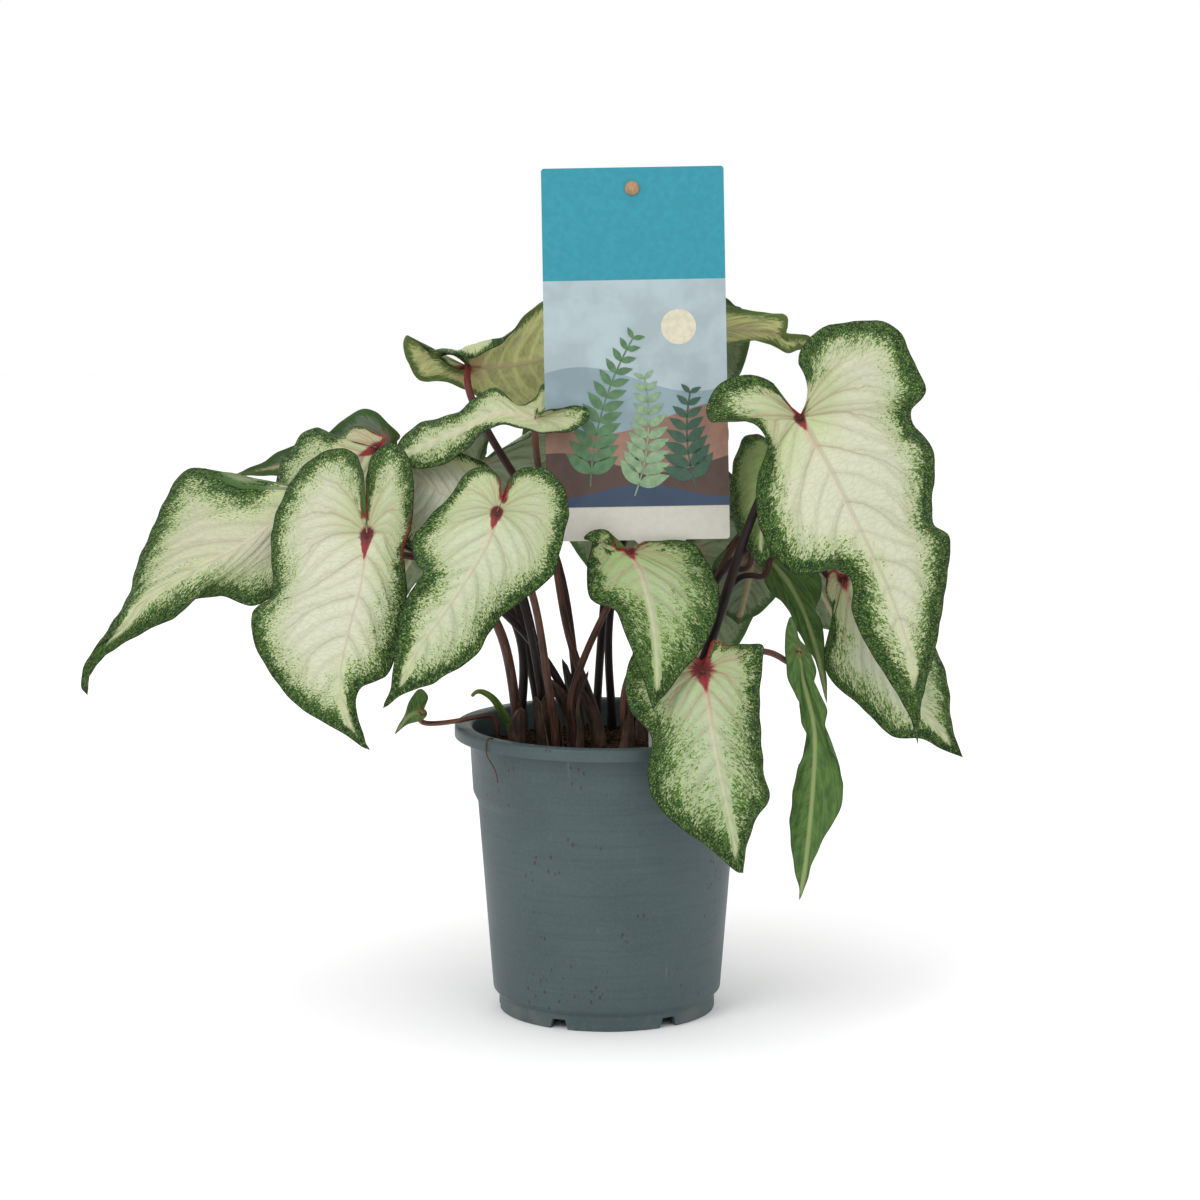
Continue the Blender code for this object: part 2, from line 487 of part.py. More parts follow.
def blade_mesh(left, right):
    """Number the points of both sides' grids and list the upper face's triangles.

    The two sides share the rib, the heart, the tip and the ray that ends in the notch."""
    stations = left.shape[0] - 1
    rings = left.shape[1] - 1
    points = []
    index = {}

    def number(side, station, ring):
        if station == 0:
            key = "tip"
        elif ring == 0 and station / stations >= RIB_SHARE:
            key = "heart"
        elif ring == 0:
            key = ("rib", station)
        else:
            key = (side, station, ring)
        if key not in index:
            grid = left if side == "left" else right
            index[key] = len(points)
            points.append(grid[station, ring])
        return index[key]

    triangles = []
    for side in ("left", "right"):
        for station in range(stations):
            for ring in range(rings):
                corners = (number(side, station, ring), number(side, station, ring + 1),
                           number(side, station + 1, ring + 1), number(side, station + 1, ring))
                if side == "left":
                    corners = corners[::-1]
                first, second, third, fourth = corners
                for triangle in ((first, second, third), (first, third, fourth)):
                    if len(set(triangle)) == 3:
                        triangles.append(triangle)
    seam = [(number("left", stations, ring), number("right", stations, ring)) for ring in range(rings + 1)]
    rim = [number("left", station, rings) for station in range(stations + 1)]
    rim += [number("right", station, rings) for station in range(stations, 0, -1)]
    return np.array(points), triangles, rim, seam


def point_normals(points, triangles):
    normals = np.zeros_like(points)
    for triangle in triangles:
        a, b, c = (points[k] for k in triangle)
        face = np.cross(b - a, c - a)
        for k in triangle:
            normals[k] += face
    return normals / np.maximum(np.linalg.norm(normals, axis=1, keepdims=True), 1e-12)


def thick_sheet(points, triangles, rim):
    """Points and faces of a blade of even thickness about a sheet, and which way each place faces."""
    normals = point_normals(points, triangles)
    count = len(points)
    solid = np.vstack((points + normals * BLADE_THICK / 2, points - normals * BLADE_THICK / 2))
    faces = list(triangles)
    faces += [(a + count, c + count, b + count) for a, b, c in triangles]
    for first, second in zip(rim, rim[1:] + rim[:1]):
        faces.append((first, second, second + count))
        faces.append((first, second + count, first + count))
    return solid, faces, normals


def eased_folds(points, triangles, rim):
    """The sheet, eased wherever the thick blade would run into itself and as drawn elsewhere."""
    count = len(points)
    near = [set() for _ in range(count)]
    for triangle in triangles:
        for k in triangle:
            near[k].update(triangle)
    for before, k, after in zip(rim[-1:] + rim[:-1], rim, rim[1:] + rim[:1]):
        near[k] = {before, k, after}
    for _ in range(FOLD_ROUNDS):
        solid, faces, _ = thick_sheet(points, triangles, rim)
        tree = BVHTree.FromPolygons([tuple(place / MM) for place in solid], faces, epsilon=FOLD_TOUCH)
        tight = {corner % count for pair in tree.overlap(tree) for face in pair for corner in faces[face]}
        if not tight:
            break
        eased = points.copy()
        for k in tight:
            eased[k] += FOLD_EASE * (points[list(near[k])].mean(axis=0) - points[k])
        points = eased
    return points


def weld_seam(points, triangles, rim, seam):
    """Join the two sides along the ray from the heart to the notch."""
    target = {}
    for left, right in seam:
        if left != right:
            points[left] = (points[left] + points[right]) / 2
            target[right] = left
    joined = [tuple(target.get(k, k) for k in triangle) for triangle in triangles]
    edge = []
    for k in rim:
        k = target.get(k, k)
        if not edge or edge[-1] != k:
            edge.append(k)
    used = sorted({k for triangle in joined for k in triangle})
    fresh = {old: new for new, old in enumerate(used)}
    return (points[used], [tuple(fresh[k] for k in triangle) for triangle in joined],
            [fresh[k] for k in edge], fresh[seam[0][0]])


def blade(name, left, right, finish):
    """Build a blade from the grids of its two sides, and return its sheet."""
    points, triangles, rim, heart = weld_seam(*blade_mesh(left, right))
    points = eased_folds(points, triangles, rim)
    solid, faces, normals = thick_sheet(points, triangles, rim)
    add_object(name, solid, faces, finish)
    return points, triangles, normals, heart


def eased_curve(knots, count):
    """A smooth path that starts at the first knot, ends at the last and is drawn towards the others."""
    hull = np.array([knots[0]] * 2 + list(knots) + [knots[-1]] * 2)
    spans = len(hull) - 3
    path = []
    for t in np.linspace(0.0, spans, count):
        start = min(int(t), spans - 1)
        s = t - start
        weights = np.array(((1 - s) ** 3, 3 * s ** 3 - 6 * s ** 2 + 4,
                            -3 * s ** 3 + 3 * s ** 2 + 3 * s + 1, s ** 3))
        path.append(weights @ hull[start:start + 4] / 6)
    return np.array(path)


def tube(name, path, radii, finish):
    """A closed round tube along a path."""
    sides = STALK_SIDES
    steps = np.gradient(path, axis=0)
    steps /= np.linalg.norm(steps, axis=1, keepdims=True)
    side = np.array((1.0, 0.0, 0.0))
    points = []
    for place, along, radius in zip(path, steps, radii):
        side = side - along * (side @ along)
        side /= np.linalg.norm(side)
        other = np.cross(along, side)
        for step in range(sides):
            angle = 2 * math.pi * (step + 0.5) / sides
            points.append(place + radius * (math.cos(angle) * side + math.sin(angle) * other))
    faces = []
    for ring in range(len(path) - 1):
        for step in range(sides):
            after = (step + 1) % sides
            low = ring * sides
            faces.append((low + step, low + after, low + sides + after, low + sides + step))
    faces.append(tuple(reversed(range(sides))))
    faces.append(tuple(range(len(points) - sides, len(points))))
    add_object(name, points, faces, finish)


def seat_under(points, triangles, heart, normals):
    """The end of a stalk that arrives from below and stays clear of every fold around the heart."""
    arrival = normals[heart] + np.array((0.0, 0.0, ARRIVAL_RISE))
    arrival /= np.linalg.norm(arrival)
    nearest = 0.0
    for triangle in triangles:
        corners = points[list(triangle)] - normals[list(triangle)] * BLADE_THICK / 2 - points[heart]
        if np.linalg.norm(corners, axis=1).min() > SEAT_REACH:
            continue
        for weights in SEAT_SAMPLES:
            spot = weights @ corners
            ahead = spot @ arrival
            if np.linalg.norm(spot - arrival * ahead) < SEAT_CLEAR and np.linalg.norm(spot) < SEAT_REACH:
                nearest = min(nearest, ahead)
    return points[heart] + arrival * (nearest - SEAT_GAP), arrival


def stalk(name, base, radius, passes, seat, finish):
    """A stalk from its hole in the soil, past the given points, to its seat behind the blade's heart."""
    x, y = (value * MM for value in base)
    end, arrival = seat
    rise = [np.array((x, y, SOIL_TOP + height)) for height in STALK_RISE]
    upper = eased_curve([*rise, *passes, end - arrival * ARRIVAL_LENGTH, end], STALK_RINGS)
    path = np.vstack(((x, y, STALK_FOOT), upper))
    share = np.linspace(0.0, 1.0, len(upper))
    radii = np.concatenate(((radius,), radius + (STALK_TIP_RADIUS / MM - radius) * share)) * MM
    tube(name, path, radii, finish)


def drawn_leaf(leaf, finish, stalk_finish, stations=STATIONS, rings=RINGS):
    origin = place_at_depth(*leaf.heart)
    plane = face_normal(leaf.face)
    grids = [side_rows(margin, leaf.rib, stations, rings) for margin in (leaf.left, leaf.right)]
    left, right = (lay_on_plane(grid, origin, plane) for grid in grids)
    points, triangles, normals, heart = blade(leaf.name, left, right, finish)
    base, radius, passes = leaf.stalk
    via = [place_at_depth(*place) for place in passes]
    seat = seat_under(points, triangles, heart, normals)
    stalk(leaf.name + "_stalk", base, radius, via, seat, stalk_finish)


def far_leaf(leaf, finish, stalk_finish):
    """A leaf placed in space by its heart, the way that its tip points and how it hangs."""
    turn = math.radians(leaf.heading)
    dip = math.radians(leaf.dip)
    along = np.array((math.cos(turn) * math.cos(dip), math.sin(turn) * math.cos(dip), -math.sin(dip)))
    upward = np.array((math.cos(turn) * math.sin(dip), math.sin(turn) * math.sin(dip), math.cos(dip)))
    across = np.cross(upward, along)
    origin = np.array(leaf.heart) * MM

    def lay(grid):
        width = grid[..., 0:1] * MM
        length = grid[..., 1:2] * MM
        rise = grid[..., 2:3] * MM
        return origin + across * width + along * length + upward * rise

    def margin(sign):
        places = []
        for number, (wide, long) in enumerate(HEART_MARGIN):
            wave = WAVE_HEIGHT * math.sin(number * WAVE_STEP + leaf.length + sign)
            sag = leaf.droop * (long ** 2 if long > 0 else -LOBE_SAG * long)
            places.append((sign * wide * leaf.width, long * leaf.length, wave - sag))
        return places

    rib = [(0.0, share * leaf.length, -leaf.droop * share ** 2) for share in np.linspace(0.0, 1.0, 5)]
    sides = [lay(side_rows(margin(sign), rib, STATIONS, RINGS)) for sign in (-1, 1)]
    points, triangles, normals, heart = blade(leaf.name, *sides, finish)
    base = np.array((*leaf.base, SOIL_TOP / MM)) * MM
    middle = base + (origin - base) * np.array(FAR_STALK_MIDDLE)
    middle[2] += FAR_STALK_LIFT
    seat = seat_under(points, triangles, heart, normals)
    stalk(leaf.name + "_stalk", leaf.base, leaf.radius, [middle], seat, stalk_finish)


def make_pot(finish):
    profile = (
        (0.0, POT_FLOOR + POT_FLOOR_THICK),
        (WALL_LOW_RADIUS - 2 * POT_WALL, POT_FLOOR + POT_FLOOR_THICK),
        (WALL_LOW_RADIUS - POT_WALL, WALL_LOW + POT_WALL),
        (WALL_TOP_RADIUS - POT_WALL, WALL_TOP),
        (COLLAR_LOW_RADIUS - POT_WALL, COLLAR_LOW + POT_WALL),
        (COLLAR_TOP_RADIUS - POT_WALL, POT_HEIGHT - LIP_EDGE_DOWN),
        (INNER_LIP_RADIUS, POT_HEIGHT),
        (LIP_RADIUS - LIP_EDGE_OUT, POT_HEIGHT),
        (LIP_RADIUS, POT_HEIGHT - LIP_EDGE_DOWN),
        (LIP_RADIUS, POT_HEIGHT - LIP_BAND),
        (LIP_RADIUS - POT_WALL, POT_HEIGHT - LIP_BAND),
        (LIP_RADIUS - POT_WALL, POT_HEIGHT - LIP_THICK),
        (COLLAR_TOP_RADIUS, POT_HEIGHT - LIP_THICK),
        (COLLAR_LOW_RADIUS, COLLAR_LOW),
        (WALL_TOP_RADIUS, WALL_TOP),
        (WALL_LOW_RADIUS, WALL_LOW),
        (FOOT_RADIUS, FOOT_TOP),
        (FOOT_RADIUS, 0.0),
        (FOOT_RADIUS - FOOT_WALL, 0.0),
        (FOOT_RADIUS - FOOT_WALL, POT_FLOOR),
        (0.0, POT_FLOOR),
    )
    pot = turned("pot", profile, POT_SIDES, finish)
    cutters = []
    for number in range(FOOT_NOTCHES):
        cutters.append(foot_notch(number))
    for number in range(DRAIN_HOLES):
        angle = FOOT_NOTCH_START + 2 * math.pi * (number + 0.5) / DRAIN_HOLES
        x, y = DRAIN_CIRCLE * math.cos(angle), DRAIN_CIRCLE * math.sin(angle)
        low, high = POT_FLOOR - CUT_OVER, POT_FLOOR + POT_FLOOR_THICK + CUT_OVER
        cutters.append(cylinder(f"drain_{number}", x, y, low, high, DRAIN_RADIUS, DRAIN_SIDES))
    cut(pot, cutters)


def foot_notch(number):
    """A trapezoid bar that cuts one drainage notch through the foot."""
    half_low, half_top = FOOT_NOTCH_LOW / 2, FOOT_NOTCH_TOP / 2
    low, high = -CUT_OVER, FOOT_NOTCH_HEIGHT
    near, far = FOOT_RADIUS - FOOT_WALL - CUT_OVER, FOOT_RADIUS + CUT_OVER
    section = ((-half_low, low), (half_low, low), (half_top, high), (-half_top, high))
    points = [(near, y, z) for y, z in section] + [(far, y, z) for y, z in section]
    faces = [(3, 2, 1, 0), (4, 5, 6, 7)]
    faces += [(k, (k + 1) % 4, 4 + (k + 1) % 4, 4 + k) for k in range(4)]
    bar = add_object(f"notch_{number}", points, faces, None)
    bar.rotation_euler = (0.0, 0.0, FOOT_NOTCH_START + 2 * math.pi * number / FOOT_NOTCHES)
    return bar


def make_soil(finish, holes):
    """Soil up to just under the lip, with a low crown and one plain hole for each stalk and the label."""
    shrink = POT_WALL + GAP
    profile = [(SOIL_TOP_RADIUS * share, SOIL_TOP + lift) for share, lift in SOIL_SURFACE]
    profile += [
        (COLLAR_LOW_RADIUS - shrink, COLLAR_LOW + shrink),
        (WALL_TOP_RADIUS - shrink, WALL_TOP),
        (WALL_LOW_RADIUS - shrink - GAP, WALL_LOW + shrink),
        (WALL_LOW_RADIUS - 2 * shrink, POT_FLOOR + POT_FLOOR_THICK + GAP),
        (0.0, POT_FLOOR + POT_FLOOR_THICK + GAP),
    ]
    soil = turned("soil", profile, POT_SIDES, finish)
    cutters = []
    for number, ((x, y), radius) in enumerate(holes):
        wide = (radius * MM + GAP) / math.cos(math.pi / STALK_SIDES)
        low, high = SOIL_TOP - HOLE_DEPTH, SOIL_TOP + HOLE_DEPTH
        made = cylinder(f"hole_{number}", x * MM, y * MM, low, high, wide, STALK_SIDES)
        made.rotation_euler = (0.0, 0.0, math.pi / STALK_SIDES)
        cutters.append(made)
    half = LABEL_TAIL_WIDTH / 2 + GAP
    side = LABEL_THICK / 2 + GAP
    slot = block("label_slot", (LABEL_TAIL_ACROSS - half, -side, -LABEL_TAIL_LENGTH - GAP),
                 (LABEL_TAIL_ACROSS + half, side, -LABEL_TAIL_SHOULDER))
    stand_like_label(slot)
    cutters.append(slot)
    cut(soil, cutters)


def block(name, low, high):
    points = [(x, y, z) for z in (low[2], high[2]) for y in (low[1], high[1]) for x in (low[0], high[0])]
    faces = [(0, 2, 3, 1), (4, 5, 7, 6), (0, 1, 5, 4), (2, 6, 7, 3), (0, 4, 6, 2), (1, 3, 7, 5)]
    return add_object(name, points, faces, None)


def stand_like_label(thing):
    """Put something drawn from the card's lower left corner where the label stands: tilted back."""
    thing.location = LABEL_FOOT
    thing.rotation_euler = (-LABEL_TILT, -LABEL_LEAN, 0.0)


def make_label(finish):
    """A stiff card on a straight tail that stands in the soil."""
    half = LABEL_TAIL_WIDTH / 2
    tail_left, tail_right = LABEL_TAIL_ACROSS - half, LABEL_TAIL_ACROSS + half
    low = -LABEL_TAIL_LENGTH
    corner = LABEL_CORNER
    shoulder = LABEL_TAIL_SHOULDER
    outline = [(tail_left, low + LABEL_TAIL_POINT), (LABEL_TAIL_ACROSS, low),
               (tail_right, low + LABEL_TAIL_POINT), (tail_right, -shoulder), (tail_right + shoulder, 0.0),
               (LABEL_WIDTH - corner, 0.0), (LABEL_WIDTH, corner),
               (LABEL_WIDTH, LABEL_HEIGHT - corner), (LABEL_WIDTH - corner, LABEL_HEIGHT),
               (corner, LABEL_HEIGHT), (0.0, LABEL_HEIGHT - corner),
               (0.0, corner), (corner, 0.0), (tail_left - shoulder, 0.0), (tail_left, -shoulder)]
    count = len(outline)
    points = [(x, -LABEL_THICK / 2, z) for x, z in outline]
    points += [(x, LABEL_THICK / 2, z) for x, z in outline]
    faces = [tuple(range(count)), tuple(reversed(range(count, 2 * count)))]
    faces += [((k + 1) % count, k, count + k, count + (k + 1) % count) for k in range(count)]
    label = add_object("plant_label", points, faces, finish)
    stand_like_label(label)


def make_shoot(finish):
    x, y = (value * MM for value in SHOOT_BASE)
    rise = [np.array((x, y, SOIL_TOP + height)) for height in SHOOT_RISE]
    upper = eased_curve(rise + [place_at_depth(*place) for place in SHOOT_PATH], SHOOT_RINGS)
    path = np.vstack(((x, y, STALK_FOOT), upper))
    radii = np.concatenate(((SHOOT_RADIUS,), np.linspace(SHOOT_RADIUS, SHOOT_TIP_RADIUS, len(upper))))
    tube("shoot", path, radii, finish)


def stand_at_origin():
    """Move everything in plan so that the whole plant's box is centred on the origin."""
    bpy.context.view_layer.update()
    solids = [thing for thing in bpy.data.objects if not thing.hide_render]
    corners = np.array([thing.matrix_world @ vertex.co for thing in solids for vertex in thing.data.vertices])
    middle = (corners.min(axis=0) + corners.max(axis=0)) / 2
    for thing in bpy.data.objects:
        thing.location.x -= middle[0]
        thing.location.y -= middle[1]


def main():
    clear_scene()
    pot_plastic = material("pot_plastic", (0.089, 0.136, 0.147), 0.45)
    soil_finish = material("soil", (0.026, 0.013, 0.008), 0.95)
    label_card = material("label_card", (0.45, 0.55, 0.55), 0.35)
    blade_finish = material("blade", (0.45, 0.55, 0.33), 0.5)
    green_finish = material("green_blade", (0.10, 0.20, 0.05), 0.5)
    stalk_finish = material("stalk", (0.05, 0.025, 0.02), 0.5)
    plain_green = ("leaf_twisted", "leaf_strap_right")

    make_pot(pot_plastic)
    holes = [(leaf.stalk[0], leaf.stalk[1]) for leaf in LEAVES + (SMALL_LEAF,)]
    holes += [(leaf.base, leaf.radius) for leaf in FAR_LEAVES]
    holes.append((SHOOT_BASE, SHOOT_RADIUS / MM))
    make_soil(soil_finish, holes)
    make_label(label_card)
    for leaf in LEAVES:
        drawn_leaf(leaf, green_finish if leaf.name in plain_green else blade_finish, stalk_finish)
    for leaf in FAR_LEAVES:
        far_leaf(leaf, blade_finish, stalk_finish)
    drawn_leaf(SMALL_LEAF, green_finish, stalk_finish, SMALL_STATIONS, SMALL_RINGS)
    make_shoot(green_finish)
    stand_at_origin()


main()
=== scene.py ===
"""The looks of a potted caladium: veined leaves, stalks, pot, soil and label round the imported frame.

Units are metres with +Z up. A leaf's outline is given in drawing places u (to the right) and v (down),
seen from in front, and is laid on a tilted plane at its own depth, so that each fine leaf lies on the
frame's own one.
"""
import json
import math
import random
from collections import namedtuple

import bpy
import numpy as np
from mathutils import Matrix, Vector, noise

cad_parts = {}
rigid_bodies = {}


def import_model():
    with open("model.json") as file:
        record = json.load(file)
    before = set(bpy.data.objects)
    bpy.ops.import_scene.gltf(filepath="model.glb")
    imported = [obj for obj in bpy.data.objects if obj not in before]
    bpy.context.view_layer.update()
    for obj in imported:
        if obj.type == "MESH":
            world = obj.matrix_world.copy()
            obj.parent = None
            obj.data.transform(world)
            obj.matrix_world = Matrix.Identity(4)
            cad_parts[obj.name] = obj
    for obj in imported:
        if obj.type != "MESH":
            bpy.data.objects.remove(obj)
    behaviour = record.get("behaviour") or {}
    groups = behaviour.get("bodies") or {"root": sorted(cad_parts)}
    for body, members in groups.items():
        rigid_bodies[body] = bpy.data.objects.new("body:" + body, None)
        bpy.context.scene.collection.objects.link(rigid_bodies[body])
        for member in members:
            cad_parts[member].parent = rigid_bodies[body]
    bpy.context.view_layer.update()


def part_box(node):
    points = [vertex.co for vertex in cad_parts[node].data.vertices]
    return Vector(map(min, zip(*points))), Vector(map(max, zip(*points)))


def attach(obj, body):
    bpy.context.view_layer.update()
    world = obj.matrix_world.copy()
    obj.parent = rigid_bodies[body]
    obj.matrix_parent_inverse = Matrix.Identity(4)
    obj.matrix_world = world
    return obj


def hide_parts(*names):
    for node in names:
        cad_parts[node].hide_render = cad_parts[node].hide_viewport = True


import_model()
POT_LOW, POT_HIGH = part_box("pot")
AXIS = np.array(((POT_LOW[0] + POT_HIGH[0]) / 2, (POT_LOW[1] + POT_HIGH[1]) / 2, 0.0))

MM = 0.001

# Camera and drawing viewpoint, from the pot's axis and the table
EYE = np.array((-0.0027, -1.4, 0.367))
EYE_PITCH = math.radians(8.3)
EYE_FOCAL = 3608.0
EYE_CENTRE = 600.0
IMAGE_WIDTH = 1200.0
SENSOR_WIDTH = 36.0

# How a blade's surface follows its outline
TURN_WEIGHT = 18.0
SPAN_STEPS = 12
SPINE_STEPS = 60
PLACE_VALUES = 6
RIB_SHARE = 0.55
VEIN_BOW = 0.06
BOW_FADE = 0.3
RIM_POWER = 1.8

# Fine blade: veins on each side, stations from one vein to the next, and rings out to the margin
VEINS = 10
VEIN_STATIONS = 9
# A vein and its forks: the share of its run at which each starts, how much of the way to the next vein it
# turns aside, and how much fainter it is, as a distance in mm. VEIN_SWEEP is the veins' turn to the tip
FORKS = ((0.0, 0.0, 0.0), (0.22, 0.42, 0.25), (0.40, -0.40, 0.25), (0.62, 0.20, 0.35), (0.72, -0.20, 0.35))
VEIN_SWEEP = 1.6
SWEEP_POWER = 1.3
# The shader's veins: how much denser and how much fainter in mm each set is, and how far they waver
VEIN_SETS = ((1.0, 0.0), (2.0, 0.3))
VEIN_WAVER = 0.45
FAR_AWAY = 99.0
RINGS = 22
EDGE_THICK = 0.30
MIDDLE_THICK = 0.52
# Grooves above and ridges below, as depth and width in mm
VEIN_GROOVE = (0.16, 1.9)
RIB_GROOVE = (0.25, 1.1)
VEIN_RIDGE = (0.22, 1.7)
RIB_RIDGE = (0.55, 1.0)
RELIEF_START = (0.3, 3.0)
QUILT = 0.55
QUILT_REACH = {"vein": 4.0, "rim": 7.0, "rib": 5.0}
RIPPLE = 0.30
RIPPLE_PITCH = 10.5
RIM_REACH = 4.0
HEART_REACH = 4.0
# How far the grain is moved from one half and one leaf to the next, in mm
HALF_SHIFT = 400.0
LEAF_SHIFT = (37.0, 11.0)

# Stalks
STALK_SIDES = 14
STALK_RINGS = 56
STALK_TIP_RADIUS = 1.15
STALK_FLARE = 0.35
FLARE_FADE = 40
STALK_SWELL = 0.05
STALK_RIBBING = 0.035
BLADE_SEAT = 0.25
STALK_RISE = (0.003, 0.014)
ARRIVAL_RISE = 0.7
ARRIVAL_LENGTH = 0.012
SOIL_TOP = 0.104
STALK_DEPTH = 0.012

# A drawn leaf. heart is (u, v, depth in mm), face the way that the upper side looks: degrees round to
# the right from the viewer, and degrees up. left and right are margins from the notch to the tip, seen
# on the upper side with the tip down, and rib runs from the heart to the tip. A place is
# (u, v, depth added in mm, then how far the vein's middle is bent: right, down and back).
# stalk is ((x, y) at the soil in mm, radius in mm, places that it passes as (u, v, depth)).
Leaf = namedtuple("Leaf", "name heart face left right rib stalk")

